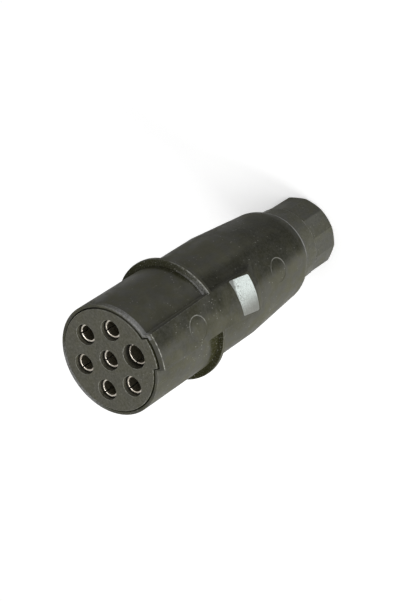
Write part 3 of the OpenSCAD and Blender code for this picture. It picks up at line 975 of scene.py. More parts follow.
@dataclass
class HousingShell:
    """The moulded body: barrel, key, rib, band, taper, shoulder and threaded spigot.

    Attributes:
        rim_back: how far the rim lies behind the contact face.
        rim_step: width of the rim's flat row.
        mouth_l: length of the bore that wears with the rim.
        nose_rise: how much higher the key stands at its front.
        nose_taper: how much narrower the key's rounded front edge is on each side.
        rub_glint_l: length of the barrel's front that carries the pale marks of rubbing and painted
            highlight.
        rub_glint_step: half the length in which these marks end.
        soft_share: the greatest share of the key's height that its edges' rounding takes.
        long_edge: rounding of the key's long edge on the +X side.
        far_edge: the same on the -X side.
        band_soft: how much softer the long edge is at the band's rear end.
        band_far: how much farther the band reaches towards -X there.
        crowd: step in depth between the key's rows at the rib.
        row_gap: least step between a rounding and the next row.
    """

    rib_r: float = field(default_factory=lambda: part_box("housing")[1].x / MM)
    barrel_r: float = 18.95
    body_r: float = 18.75
    barrel_l: float = 32.2
    rib_t: float = 1.4
    wall: float = 1.1
    rim_back: float = 0.33
    rim_round: float = 0.14
    rim_step: float = 0.1
    mouth_l: float = 0.6
    nose_rise: float = 0.75
    nose_taper: float = 0.3
    rub_glint_l: float = 1.6
    rub_glint_step: float = 0.15
    key_w: float = 12.4
    key_spread: float = 0.7
    key_round: float = 0.22
    soft_share: float = 0.45
    long_edge: float = 0.16
    far_edge: float = 0.05
    band_soft: float = 0.9
    band_far: float = 1.5
    root: float = 0.4
    rib_round: float = 0.28
    band_l: float = 19.6
    ramp_l: float = 5.06
    ramp_ease: float = 0.4
    straight_l: float = 26.4
    taper_l: float = 25.0
    taper_drop: float = 2.1
    taper_ease: float = 0.8
    shoulder_l: float = 6.8
    shoulder_drop: float = 2.5
    rear_round: float = 0.2
    lip: float = 0.18
    lip_l: float = 0.62
    lip_rise: float = 0.4
    keyway_r: float = 19.95
    keyway_w: float = 10.7
    insert_l: float = 26.0
    ledge_w: float = 1.4
    hollow_r: float = 19.0
    hollow_w: float = 8.1
    body_wall: float = 2.5
    funnel_l: float = 3.2
    floor_t: float = 3.0
    cable_hole_r: float = 7.3
    spigot_r: float = 11.58
    spigot_bore_r: float = 9.28
    spigot_l: float = 13.0
    spigot_bevels: Point2 = (0.4, 0.3)
    mark_sink: float = 0.09
    mark_slope: float = 0.1
    mark_steps: int = 64
    edge: float = 0.15
    crowd: float = 0.02
    row_gap: float = 0.1
    body_steps: int = 176
    key_steps: int = 22
    barrel_steps: int = 24
    band_steps: int = 12
    ramp_steps: int = 7
    taper_steps: int = 14
    shoulder_steps: int = 13
    arc_steps: int = 4

    def __post_init__(self) -> None:
        """Works out the bore's radius and the depths at which the parts end."""
        self.bore_r = self.barrel_r - self.wall
        self.rib_end = self.barrel_l + self.rib_t
        self.band_end = self.rib_end + self.band_l
        self.straight_end = self.rib_end + self.straight_l
        self.taper_end = self.straight_end + self.taper_l
        self.body_end = self.taper_end + self.shoulder_l

    def body_at(self, depth: float) -> float:
        """Radius of the round body behind the rib.

        Args:
            depth: depth below the contact face.

        Returns:
            The outside radius there.
        """
        slope = share(depth, self.straight_end, self.taper_end)
        late = max(0.0, (depth - self.taper_end) / self.shoulder_l)
        lip_start = self.body_end - self.lip_l
        lift = self.lip * share(depth, lip_start, lip_start + self.lip_rise * self.lip_l)
        return self.body_r - self.taper_drop * slope - self.shoulder_drop * late**2 + lift

    def key_at(self, depth: float) -> float:
        """Radius of the key's outer face, which stands highest at its front."""
        return self.rib_r + self.nose_rise * max(0.0, 1 - depth / self.barrel_l)

    def key_half(self, depth: float) -> float:
        """Half the width of the key at a depth."""
        return (self.key_w + self.key_spread * min(1.0, depth / self.barrel_l)) / 2

    def quarter(self, radius: float, depth: float, size: float, start: float, end: float) -> list[Point2]:
        """Points of a rounding in the half section.

        Args:
            radius: distance of the rounding's centre from the axis.
            depth: depth of its centre.
            size: its own radius.
            start: turn at its first point, from 0 straight up and positive outwards, in degrees.
            end: turn at its last point.

        Returns:
            The radius and depth of each point.
        """
        turns = [math.radians(turn) for turn in spread(start, end, self.arc_steps)]
        return [(radius + size * math.sin(turn), depth - size * math.cos(turn)) for turn in turns]

    def front_rows(self) -> Iterable[Station]:
        """Rows over the rim and the key's front edge, from the bore to the outside.

        Returns:
            The rows, in order.
        """
        back, edge, step = self.rim_back, self.edge, self.rim_step
        starts = ((0, back + edge, 0), (edge, back, edge), (edge + step, back, edge + step / 2))
        for out, depth, wider in starts:
            yield Station((self.bore_r + out, depth), (self.keyway_r + out, depth),
                self.keyway_w / 2 + wider)
        rim, nose = self.rim_round, self.key_round
        bodies = self.quarter(self.barrel_r - rim, back + rim, rim, 0, 90)
        keys = self.quarter(self.key_at(back) - nose, back + nose, nose, 0, 90)
        for body, key, a in zip(bodies, keys, spread(0, math.pi / 2, self.arc_steps)):
            narrower = self.nose_taper * (1 - math.sin(a))
            yield Station(body, key, self.key_half(0) - narrower, self.long_edge * math.sin(a))

    def barrel_rows(self) -> Iterable[Station]:
        """Rows along the barrel to the root of the rib.

        Returns:
            The rows, in order.
        """
        start, end = self.rim_back + self.rub_glint_l, self.barrel_l - self.root - self.row_gap
        depths = [self.rim_back + self.key_round + 2 * self.row_gap, start - self.rub_glint_step,
                  start + self.rub_glint_step, *spread(start, end, self.barrel_steps)[1:]]
        for depth in depths:
            key = (self.key_at(depth), depth)
            yield Station((self.barrel_r, depth), key, self.key_half(depth), self.long_edge)

    def rib_rows(self) -> Iterable[Station]:
        """Rows up the rib's front face, over it and down to the body.

        Returns:
            The rows, in order.
        """
        root, bend, half = self.root, self.rib_round, self.key_half(self.barrel_l)
        climb = self.quarter(self.barrel_r + root, self.barrel_l - root, root, -90, -180)
        climb += self.quarter(self.rib_r - bend, self.barrel_l + bend, bend, 0, 90)
        fall = self.quarter(self.rib_r - bend, self.rib_end - bend, bend, 90, 180)
        fall += self.quarter(self.body_r + root, self.rib_end + root, root, 0, -90)
        front = self.barrel_l + bend - (len(climb) - 1) * self.crowd
        for rows, start in ((climb, front), (fall, self.rib_end - bend)):
            for i, body in enumerate(rows):
                yield Station(body, (self.rib_r, start + i * self.crowd), half, self.long_edge)

    def rear_rows(self) -> Iterable[Station]:
        """Rows along the band, its ramp, the taper and the shoulder.

        Returns:
            The rows, in order.
        """
        half, ease = self.key_half(self.barrel_l), self.ramp_ease
        soft = self.long_edge + self.band_soft
        start = self.rib_end + self.root + 3 * self.row_gap
        end = self.band_end - ease - 2 * self.row_gap
        steps = self.band_steps
        for grown, depth in zip(spread(0, 1, steps), spread(start, end, steps)):
            yield Station((self.body_r, depth), (self.rib_r, depth), half,
                self.long_edge + self.band_soft * grown**1.5, self.band_far * grown)
        slope = (self.rib_r - self.body_r) / self.ramp_l
        for part in (0.25, 0.5, 0.75):
            depth = self.band_end - ease + 2 * ease * part
            top = self.rib_r - ease * slope * part**2
            yield Station((self.body_r, depth), (top, depth), half, soft, self.band_far)
        steps = self.ramp_steps
        ramp = spread(self.band_end + ease, self.band_end + self.ramp_l, steps)
        for left, depth in zip(spread(self.band_far, 0, steps)[1:], ramp[1:]):
            top = max(self.body_r, self.rib_r - slope * (depth - self.band_end))
            yield Station((self.body_r, depth), (top, depth), half, soft, left)
        lip_start = self.body_end - self.lip_l
        depths = [*spread(self.straight_end - self.taper_ease, self.straight_end + self.taper_ease, 4),
                  *spread(self.straight_end, self.taper_end, self.taper_steps)[1:-1],
                  *spread(self.taper_end, lip_start, self.shoulder_steps),
                  *spread(lip_start, lip_start + self.lip_rise * self.lip_l, 2)[1:],
                  self.body_end - self.rear_round]
        for depth in depths:
            ring = (self.body_at(depth), depth)
            yield Station(ring, ring, half)

    def gland_rows(self) -> Iterable[Station]:
        """Rows over the rear edge, the spigot, the floor and the wiring chamber, back to the front.

        Returns:
            The rows, in order.
        """
        bend, spigot_end = self.rear_round, self.body_end + self.spigot_l
        outer, inner = self.spigot_bevels
        rear = self.body_end - bend
        outside = self.quarter(self.body_at(rear) - bend, rear, bend, 90, 180)[1:]
        outside += [(self.spigot_r, depth) for depth in spread(self.body_end, spigot_end, 5)[:-1]]
        outside += [(self.spigot_r, spigot_end - outer), (self.spigot_r - outer, spigot_end)]
        for point in outside:
            yield Station(point, point, self.key_half(self.barrel_l))
        chamber = self.bore_r - self.ledge_w
        neck = self.taper_end + self.funnel_l
        throat = self.body_at(self.taper_end) - self.body_wall
        inside = [(self.spigot_bore_r + inner, spigot_end), (self.spigot_bore_r, spigot_end - inner),
                  (self.spigot_bore_r, neck + self.floor_t), (self.cable_hole_r, neck + self.floor_t),
                  (self.cable_hole_r, neck), (throat, self.taper_end),
                  *list(zip(spread(throat, chamber, 4), spread(self.taper_end, self.straight_end, 4)))[1:],
                  (chamber, self.band_end)]
        for point in inside:
            yield Station(point, point, self.hollow_w / 2)
        for depth in spread(self.band_end, self.insert_l, 6):
            yield Station((chamber, depth), (self.hollow_r, depth), self.hollow_w / 2)
        for depth in spread(self.insert_l, self.rim_back + self.mouth_l, 5):
            yield Station((self.bore_r, depth), (self.keyway_r, depth), self.keyway_w / 2)

    def ring(self, row: Station) -> list[Vector]:
        """Points of one row, from the key round the body and back.

        Args:
            row: the row's radii, depths and width.

        Returns:
            As many points for every row, in metres.
        """
        (body_r, body_d), (key_r, key_d) = row.body, row.key
        soft = max(0.0, min(row.soft, (key_r - body_r) * self.soft_share))
        crisp = min(soft, self.far_edge)
        near, far = row.half, row.half + row.far
        points = [(x, -math.sqrt(key_r**2 - x**2), key_d)
                  for x in spread(near - soft, crisp - far, self.key_steps)[1:-1]]
        points += [(-x, y, d) for x, y, d in reversed(self.flank(row, far, crisp))]
        start = math.asin((far + crisp) / body_r)
        end = math.tau - math.asin((near + soft) / body_r)
        points += [(-body_r * math.sin(a), -body_r * math.cos(a), body_d)
                   for a in spread(start, end, self.body_steps)[1:-1]]
        points += self.flank(row, near, soft)
        return [Vector((x, y, FACE_Z - d)) * MM for x, y, d in points]

    def flank(self, row: Station, half: float, soft: float) -> list[tuple[float, float, float]]:
        """Points up one side wall of the key, with its rounded foot and top.

        Args:
            row: the row's radii and depths.
            half: how far across the wall stands.
            soft: rounding of its foot and top.

        Returns:
            Place across, place towards the key and depth of each point, for the +X side.
        """
        (body_r, body_d), (key_r, key_d) = row.body, row.key
        height = max(key_r - body_r, soft, 1e-9)
        foot, top = [], []
        for a in spread(0, math.pi / 2, self.arc_steps):
            small, large = soft * (1 - math.cos(a)), soft * (1 - math.sin(a))
            depth = body_d + (key_d - body_d) * small / height
            foot.append((half + large, -math.sqrt(body_r**2 - (half + large)**2) - small, depth))
            depth = key_d + (body_d - key_d) * large / height
            top.append((half - small, large - math.sqrt(key_r**2 - (half - small)**2), depth))
        return foot + top

    def ejector_cutter(self, place: Point2, surface: Callable[[float], float]) -> bpy.types.Object:
        """Shape that presses one shallow round mark into the key's side.

        Args:
            place: the mark's centre, across the plug and as a depth.
            surface: radius of the surface at a depth.

        Returns:
            The cutter.
        """
        sink, slope = -self.mark_sink, self.mark_slope
        levels = [(MARK_R * part, sink) for part in (0.35, 0.7, 1)]
        levels += [(MARK_R + slope * out, sink + slope * out) for out in (1, 2, 4)]
        levels.append((MARK_R * 0.4, slope * 6))
        rings = []
        for rho, lift in levels:
            spots = [(place[0] + rho * math.cos(a), place[1] + rho * math.sin(a))
                     for a in spread(0, math.tau, self.mark_steps)[:-1]]
            rings.append([on_plug(x, depth, surface(depth) + lift) for x, depth in spots])
        return woven("mark_cutter", rings)

    def build(self, finishes: Finishes, cutters: Sequence[bpy.types.Object]) -> None:
        """Makes the housing with its marks and pockets.

        Args:
            finishes: the materials.
            cutters: more shapes to cut out.
        """
        rows = [*self.front_rows(), *self.barrel_rows(), *self.rib_rows(), *self.rear_rows(),
                *self.gland_rows()]
        piece = woven("housing_shell", [self.ring(row) for row in rows], closed=True)
        every = [self.ejector_cutter(EJECTOR_MARKS["key"], self.key_at),
                 self.ejector_cutter(EJECTOR_MARKS["body"], self.body_at), *cutters]
        for cutter in every:
            cut = piece.modifiers.new("cut", "BOOLEAN")
            cut.operation = "DIFFERENCE"
            cut.solver = "EXACT"
            cut.object = cutter
        settle(piece)
        for cutter in every:
            bpy.data.objects.remove(cutter)
        wear_and_glint = HousingWearAndLight(self)
        wear_and_glint.mark(piece.data)
        finishes.complete(piece, Slot.HOUSING, "housing", strength=wear_and_glint.edge)


@dataclass(frozen=True)
class Spot:
    """A place on the plug, in millimetres, with its turn from the key in degrees."""

    x: float
    y: float
    depth: float
    reach: float
    turn: float

    @classmethod
    def at(cls, place: Vector) -> "Spot":
        """Finds a place.

        Args:
            place: the place in metres.

        Returns:
            The spot, whose turn is positive towards +X.
        """
        x, y, z = place / MM
        return cls(x, y, FACE_Z - z, math.hypot(x, y), math.degrees(math.atan2(x, -y)))


@dataclass(frozen=True)
class Fade:
    """A strength that goes from the least at one distance, depth or turn to the most at another."""

    most: float
    start: float
    end: float
    least: float = 0.0

    def at(self, value: float) -> float:
        """Gives the strength."""
        return self.least + (self.most - self.least) * share(value, self.start, self.end)


@dataclass
class HousingWearAndLight:
    """Where the housing is rubbed and dusty, and where painted highlights, painted shade and painted sheen
    lie on it.

    The bare strengths and the fades go with the finish: an edge is broken up to 1 and whole at 2, and
    the rest is full at 1. Turns are degrees from the key, positive towards +X.
    """

    shell: HousingShell
    edge_middle: float = 22.0
    # Edge strengths: on the rim, the rib, the nose and the rear edge these paint highlights as well as
    # wear.
    rim_edge: Fade = Fade(0.5, 45, 0, least=0.2)
    rib_edge: Fade = Fade(1.85, 45, 0, least=0.15)
    rib_rear_edge: float = 0.1
    side_edge: float = 0.3
    rear_edge: float = 2.0
    nose_edge: float = 1.2
    nose_far_edge: float = 0.5
    nose_from: float = -14.0
    near_corner: Fade = Fade(2.2, 2.4, 1.0)
    near_corner_turn: Fade = Fade(1.0, 84, 60)
    far_corner: Fade = Fade(1.4, 0.6, 0.4)
    # Pale specks on the key's +X wall: painted glints.
    wall_glint_specks: float = 1.6
    rib_dust: Fade = Fade(0.9, 4.5, 0)
    key_dust: Fade = Fade(0.7, 3.2, 0)
    rim_dust: Fade = Fade(0.8, 7, 0)
    rim_dust_turn: Fade = Fade(1.0, 88, 55)
    # Pale marks on the lip, the rim and the rib root: painted highlights, partly rubbed wear.
    lip_near: Fade = Fade(2.0, 88, 55)
    lip_far: Fade = Fade(1.0, -24, 12)
    back_from: float = 110.0
    back_near: Fade = Fade(1.3, 150, 172)
    back_far: Fade = Fade(1.3, -112, -140)
    rim_glint: Fade = Fade(1.8, 80, 30)
    rib_turn: Fade = Fade(1.0, 62, 24)
    root_glint: float = 1.3
    rib_glint: float = 0.75
    past_key: float = 12.0
    wall_turn: float = 30.0
    # Painted shade in the gap round the insert and in the corner in front of the rib.
    gap_shade: float = 0.6
    thin_gap_shade: float = 0.1
    gap_turn: float = 8.0
    rib_shade_from: float = 20.0
    far_shade: float = 1.0
    far_shade_l: Fade = Fade(5.0, -74, -26)
    near_shade: float = 0.75
    near_shade_l: Fade = Fade(3.2, 20, 50)
    # Painted sheen: pale on the -X side for the reflection of the pale surroundings, and lifting the shaded
    # walls beside the key.
    rim_sheen: float = 0.62
    wall_sheen: float = 0.85
    band_wall_sheen: Fade = Fade(0.4, 50, 40)
    bore_sheen: float = 0.5
    low_side: Fade = Fade(1.0, 7, -9)
    thick_sheen: Fade = Fade(0.71, 50, 66, least=0.55)
    rear: Fade = Fade(1.0, 56, 68)
    front_sheen: float = 0.64
    rear_sheen: Fade = Fade(0.36, 50, 70, least=0.2)
    # Painted shade on the upper side beside the band, where the sheen is taken off.
    upper_shade_middle: float = 10.0
    upper_shade_half: Point2 = (14, 30)
    upper_shade_soft: float = 9.0
    upper_shade: float = 0.75
    rear_upper_shade: float = 0.95

    def off_barrel(self, spot: Spot, out: float, below: float) -> bool:
        """Whether a place is by these lengths farther out than the barrel and below the rib's top."""
        return self.shell.barrel_r + out < spot.reach < self.shell.rib_r - below

    def edge(self, place: Vector) -> float:
        """How strongly an edge carries pale wear and painted highlight.

        Args:
            place: the place, in metres.

        Returns:
            Near 0 for a clean edge, 1 for a broken pale line and 2 for a full one.
        """
        shell, spot = self.shell, Spot.at(place)
        off_middle = abs(spot.turn - self.edge_middle)
        if spot.depth > shell.body_end - 1:
            return self.rear_edge
        if spot.depth < shell.rim_back + shell.key_round:
            if spot.reach > shell.key_at(spot.depth) - 0.5:
                return self.nose_edge if spot.turn > self.nose_from else self.nose_far_edge
            return self.rim_edge.at(off_middle) if spot.reach > shell.barrel_r - 0.3 else 0.0
        if shell.barrel_l - 1 < spot.depth < shell.rib_end + 1 and spot.reach > shell.rib_r - 1:
            front = spot.depth < shell.barrel_l + shell.rib_t / 2
            return self.rib_edge.at(off_middle) if front else self.rib_rear_edge
        return self.side_edge if spot.x > 0 and spot.depth < shell.rib_end else 0.0

    def trap(self, spot: Spot) -> float:
        """How much dust a place gathers.

        Args:
            spot: the place.

        Returns:
            Up to 1 in front of the rib, beside the key and behind the rim, and more in the corners.
        """
        shell, turn = self.shell, spot.turn
        if spot.depth < 1 or spot.depth > shell.band_end or not self.off_barrel(spot, -0.5, 0.2):
            return 0.0
        from_rib = abs(spot.depth - shell.barrel_l)
        from_key = spot.x - shell.key_half(spot.depth)
        places = [self.far_corner.at(from_rib)]
        if turn > 0:
            corner = self.near_corner.at(from_rib) * self.near_corner_turn.at(turn)
            places = [corner, self.rib_dust.at(from_rib)]
        if spot.y < 0 < spot.x:
            places.append(self.key_dust.at(from_key))
            # On the key's +X wall the pale specks are painted glints.
            on_wall = from_key < 0.2 and turn < self.wall_turn and spot.reach > shell.barrel_r + 0.1
            if on_wall and spot.depth < shell.barrel_l:
                places.append(self.wall_glint_specks)
        if turn > self.past_key:
            places.append(self.rim_dust.at(spot.depth - shell.rim_back) * self.rim_dust_turn.at(turn))
        return max(places)

    def rub_glint(self, spot: Spot) -> float:
        """How strong the pale marks are at a place: painted highlights, partly rubbed wear.

        Args:
            spot: the place.

        Returns:
            More than 0 on the lip, the rim and the rib on the key's +X side, and on the rim's far side.
        """
        shell, turn = self.shell, spot.turn
        if spot.depth > shell.body_end - shell.lip_l - 0.01 and spot.reach > shell.spigot_r + 0.5:
            return self.lip_near.at(turn) * self.lip_far.at(turn)
        in_rim = spot.depth < shell.rim_back + shell.mouth_l and spot.reach > shell.bore_r - 0.1
        if in_rim and abs(turn) > self.back_from:
            return (self.back_near if turn > 0 else self.back_far).at(turn)
        if turn <= self.past_key:
            return 0.0
        if spot.depth < shell.rim_back + shell.rub_glint_l and self.off_barrel(spot, -0.2, 0.2):
            return self.rim_glint.at(turn)
        from_rib = abs(spot.depth - shell.barrel_l)
        if from_rib < 0.5 and abs(spot.reach - shell.barrel_r) < 0.3:
            return self.root_glint * self.rib_turn.at(turn)
        on_rib = from_rib < 0.3 and self.off_barrel(spot, 0.3, 0.2)
        return self.rib_glint * self.rib_turn.at(turn)**1.5 if on_rib else 0.0

    def painted_shade(self, spot: Spot) -> float:
        """How strong the painted shade is at a place.

        Args:
            spot: the place.

        Returns:
            More than 0 in the gap round the insert and in front of the rib.
        """
        shell, low = self.shell, spot.turn < self.gap_turn
        rim = shell.edge + 0.02 if low else 0.01
        if shell.rim_back - 0.01 < spot.depth < shell.insert_l and spot.reach < shell.keyway_r + rim:
            slot = abs(spot.x) < shell.keyway_w / 2 + rim and spot.y < 0
            if spot.reach < shell.bore_r + rim or (slot and spot.reach > shell.barrel_r - 0.1):
                return self.gap_shade if low or slot else self.thin_gap_shade
        in_front = self.rib_shade_from <= spot.depth < shell.barrel_l + 0.5
        if not in_front or not self.off_barrel(spot, -0.2, 0.1):
            return 0.0
        most, length = self.near_shade, self.near_shade_l
        if spot.turn < 0:
            most, length = self.far_shade, self.far_shade_l
        from_rib = (shell.barrel_l - spot.depth) / max(length.at(spot.turn), 0.3)
        return most * min(1.0, 3 * max(0.0, 1 - from_rib))

    def sheen(self, spot: Spot) -> float:
        """How strong the painted sheen is at a place.

        Args:
            spot: the place.

        Returns:
            Much on the -X side, where it stands for the reflection of the pale surroundings, and less on
            the other side, where painted shade takes it off along the band.
        """
        shell, depth, turn = self.shell, spot.depth, spot.turn
        if depth < shell.rim_back + 0.02:
            return self.rim_sheen if spot.reach > shell.bore_r - 0.1 else 0.0
        # Painted light lifts the key's shaded +X wall and the band's wall.
        if spot.x > 0 and turn < self.wall_turn and self.off_barrel(spot, 0.05, 0.05):
            return self.wall_sheen if depth < shell.barrel_l else self.band_wall_sheen.at(depth)
        in_mouth = depth < shell.rim_back + shell.mouth_l and spot.reach < shell.bore_r + 0.01
        if in_mouth and turn > self.gap_turn:
            return self.bore_sheen
        low, rear = self.low_side.at(turn), self.rear.at(depth)
        low = low * low * (3 - 2 * low)
        # Painted shade on the upper side: the sheen is taken off there, most at the rear.
        half = self.upper_shade_half[0 if depth < shell.barrel_l else 1]
        upper_shade = share(abs(turn - self.upper_shade_middle), half, half - self.upper_shade_soft)
        upper_shade *= self.upper_shade + (self.rear_upper_shade - self.upper_shade) * rear
        thin = self.front_sheen * (1 - rear) + self.rear_sheen.at(turn) * rear
        return self.thick_sheen.at(depth) * low + thin * (1 - upper_shade) * (1 - low)

    def mark(self, mesh: bpy.types.Mesh) -> None:
        """Writes the four maps on the housing's mesh.

        Args:
            mesh: the mesh.
        """
        maps = {TRAP_LAYER: self.trap, RUB_GLINT_LAYER: self.rub_glint, PAINTED_SHADE_LAYER: self.painted_shade,
                SHEEN_LAYER: self.sheen}
        spots = [Spot.at(v.co) for v in mesh.vertices]
        for name, rule in maps.items():
            data = mesh.attributes.new(name, "FLOAT", "POINT").data
            data.foreach_set("value", [rule(spot) for spot in spots])


@dataclass
class FoilLabel:
    """Thin foil in a shallow pocket on the band, leaning a little to one side.

    Attributes:
        front: place across and depth of the front end's two corners.
        rear: the same for the rear end.
        corner: how far the corners are cut off.
        gap: room round the foil in its pocket.
        clear: how far the pocket's cutter stands out.
    """

    radius: float = field(default_factory=lambda: -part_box("foil_label")[0].y / MM)
    front: tuple[Point2, Point2] = ((-6.42, 43.95), (6.3, 42.75))
    rear: tuple[Point2, Point2] = ((-7.75, 52.5), (5.0, 52.3))
    thick: float = 0.2
    corner: float = 0.35
    gap: float = 0.05
    clear: float = 1.0
    across: int = 28
    along: int = 20

    def spot(self, u: float, v: float, grow: float) -> Point2:
        """Place across the plug and depth of a point of the label.

        Args:
            u: share of the half width, from -1 to 1.
            v: share of the length, from 0 to 1.
            grow: distance added all round.

        Returns:
            The place across and the depth.
        """
        near, far = (Vector(front).lerp(Vector(rear), v) for front, rear in zip(self.front, self.rear))
        middle, half = (near + far) / 2, (far - near) / 2
        from_end = min(v, 1 - v) * (self.rear[1][1] - self.front[1][1])
        cut = max(0.0, self.corner - from_end)
        spot = middle + half * (u * (1 + (grow - cut) / half.length))
        return spot.x, spot.y + grow * (2 * v - 1)

    def slab(self, name: str, outer: float, grow: float = 0.0) -> bpy.types.Object:
        """Curved slab over the label's outline, from the pocket's floor outwards.

        Args:
            name: name of the object.
            outer: radius of its outer face.
            grow: distance added all round.

        Returns:
            The closed slab.
        """
        rings = []
        for v in spread(0, 1, self.along):
            there = [(u, outer) for u in spread(-1, 1, self.across)]
            back = [(u, self.radius - self.thick) for u in spread(1, -1, self.across)]
            rings.append([on_plug(*self.spot(u, v, grow), r) for u, r in there + back])
        return woven(name, rings)

    def pocket(self) -> bpy.types.Object:
        """Cutter for the pocket that the foil lies in."""
        return self.slab("pocket_cutter", self.radius + self.clear, self.gap)

    def build(self, finishes: Finishes) -> None:
        """Makes the foil."""
        finishes.complete(self.slab("foil_patch", self.radius), Slot.FOIL, "foil_label")


class TurnedTree:
    """Geometry nodes that turn an outline about its axis, cut slits in its top and place it."""

    PATH_R = 1.0
    ROD_L = 10.0
    # Height of the rod where a piece has no hole in its side, in metres.
    NO_HOLE = -1.0
    INPUTS = {
        "Segments": "Int", "Slits": "Int", "Slit Width": "Float", "Slit Length": "Float",
        "Slit Start": "Float", "Slit Reach": "Float", "Slit Turn": "Float", "Top": "Float",
        "Cross Radius": "Float", "Cross Height": "Float", "Cross Turn": "Float",
        "Bore Radius": "Float", "Tilt": "Rotation", "Place": "Vector", "Material": "Material"}

    def __init__(self) -> None:
        """Builds the tree once."""
        self.tree = bpy.data.node_groups.new("turned_piece", "GeometryNodeTree")
        self.sheet = NodeSheet(self.tree)
        face = self.tree.interface
        face.new_socket("Geometry", in_out="OUTPUT", socket_type="NodeSocketGeometry")
        face.new_socket("Geometry", in_out="INPUT", socket_type="NodeSocketGeometry")
        self.sockets = {name: face.new_socket(name, in_out="INPUT", socket_type=f"NodeSocket{kind}")
                        .identifier for name, kind in self.INPUTS.items()}
        self._join(self.sheet.add("NodeGroupInput").outputs)

    def _join(self, given: Any) -> None:
        """Adds the nodes and their links.

        Args:
            given: the tree's inputs.
        """
        sheet = self.sheet
        outline = sheet.add("GeometryNodeMeshToCurve", {"Mesh": given["Geometry"]})
        path = sheet.add("GeometryNodeCurvePrimitiveCircle",
            {"Resolution": given["Segments"], "Radius": self.PATH_R * MM})
        turned = sheet.add("GeometryNodeCurveToMesh", {"Curve": path, "Profile Curve": outline})
        solid = sheet.add("GeometryNodeMergeByDistance", {"Geometry": turned, "Distance": WELD})
        for tool in (self._slits(given), self._cross_hole(given)):
            solid = sheet.add("GeometryNodeMeshBoolean", {"Mesh 1": solid, "Mesh 2": tool},
                operation="DIFFERENCE", solver="EXACT")
        place = sheet.add("GeometryNodeInputPosition")
        flat = sheet.add("ShaderNodeVectorMath", {0: place, 1: (1, 1, 0)}, operation="MULTIPLY")
        reach = sheet.add("ShaderNodeVectorMath", {0: flat}, operation="LENGTH").outputs["Value"]
        maps = {AXIS_LAYER: reach, BORE_LAYER: sheet.less(reach, given["Bore Radius"]),
                MOUTH_LAYER: sheet.less(given["Top"], sheet.split(place)["Z"])}
        for name, value in maps.items():
            solid = sheet.add("GeometryNodeStoreNamedAttribute",
                {"Geometry": solid, "Name": name, "Value": value}, data_type="FLOAT", domain="POINT")
        moved = sheet.add("GeometryNodeTransform",
            {"Geometry": solid, "Translation": given["Place"], "Rotation": given["Tilt"]})
        real = sheet.add("GeometryNodeRealizeInstances", {"Geometry": moved})
        dressed = sheet.add("GeometryNodeSetMaterial", {"Geometry": real, "Material": given["Material"]})
        sheet.add("NodeGroupOutput", {"Geometry": dressed})

    def _slits(self, given: Any) -> Any:
        """Blades that stand round the axis, one for each slit.

        Args:
            given: the tree's inputs.

        Returns:
            The blades' node.
        """
        sheet = self.sheet
        long = sheet.times(given["Slit Length"], 2)
        size = sheet.add("ShaderNodeCombineXYZ", {0: given["Slit Reach"], 1: given["Slit Width"], 2: long})
        blade = sheet.add("GeometryNodeMeshCube", {"Size": size})
        middle = sheet.math("MULTIPLY_ADD", given["Slit Reach"], 0.5, given["Slit Start"])
        offset = sheet.add("ShaderNodeCombineXYZ", {0: middle, 2: given["Top"]})
        out = sheet.add("GeometryNodeTransform", {"Geometry": blade, "Translation": offset})
        points = sheet.add("GeometryNodeMeshLine", {"Count": given["Slits"], "Offset": (0, 0, 0)})
        step = sheet.math("DIVIDE", math.tau, sheet.most(given["Slits"], 1))
        turn = sheet.plus(sheet.times(sheet.add("GeometryNodeInputIndex"), step), given["Slit Turn"])
        spin = sheet.add("ShaderNodeCombineXYZ", {2: turn})
        fan = sheet.add("GeometryNodeInstanceOnPoints",
            {"Points": points, "Instance": out, "Rotation": spin})
        return sheet.add("GeometryNodeRealizeInstances", {"Geometry": fan})

    def _cross_hole(self, given: Any) -> Any:
        """Rod from the axis outwards, for a hole in the side.

        Args:
            given: the tree's inputs.

        Returns:
            The rod's node.
        """
        sheet, depth = self.sheet, self.ROD_L * MM
        rod = sheet.add("GeometryNodeMeshCylinder",
            {"Vertices": 32, "Radius": given["Cross Radius"], "Depth": depth})
        laid = sheet.add("GeometryNodeTransform",
            {"Geometry": rod, "Rotation": (0, math.pi / 2, 0), "Translation": (depth / 2, 0, 0)})
        spin = sheet.add("ShaderNodeCombineXYZ", {2: given["Cross Turn"]})
        lift = sheet.add("ShaderNodeCombineXYZ", {2: given["Cross Height"]})
        return sheet.add("GeometryNodeTransform", {"Geometry": laid, "Rotation": spin, "Translation": lift})

    def turn(self, name: str, outline: Sequence[Point2], **values: Any) -> bpy.types.Object:
        """Turns an outline into a piece.

        Args:
            name: the piece's name.
            outline: distance from the axis and height of each point, in millimetres. It is closed,
                or open along the axis where it starts and ends there.
            values: the tree's inputs, with words joined by an underscore.

        Returns:
            The piece as a plain mesh.
        """
        mesh = bpy.data.meshes.new(name)
        points = [((r - self.PATH_R) * MM, -z * MM, 0) for r, z in outline]
        sides = [(i, (i + 1) % len(points)) for i in range(len(points))]
        if outline[0][0] == outline[-1][0] == 0:
            sides.pop()
        mesh.from_pydata(points, sides, [])
        piece = link_object(name, mesh)
        modifier = piece.modifiers.new("turned", "NODES")
        modifier.node_group = self.tree
        for key, value in {"cross_height": self.NO_HOLE, **values}.items():
            modifier[self.sockets[key.replace("_", " ").title()]] = value
        return settle(piece)


@dataclass
class Workbench:
    """What every turned piece is made with."""

    turner: TurnedTree
    finishes: Finishes

    def turn(self, name: str, slot: Slot, node: str, outline: Sequence[Point2], **values: Any) -> None:
        """Turns, dresses and reports a piece.

        Args:
            name: the piece's name.
            slot: the record's slot.
            node: the CAD node that the piece stands for.
            outline: its half section, as the tree takes it.
            values: the tree's inputs.
        """
        piece = self.turner.turn(name, outline, material=self.finishes.by_slot[slot], **values)
        self.finishes.complete(piece, slot, node)


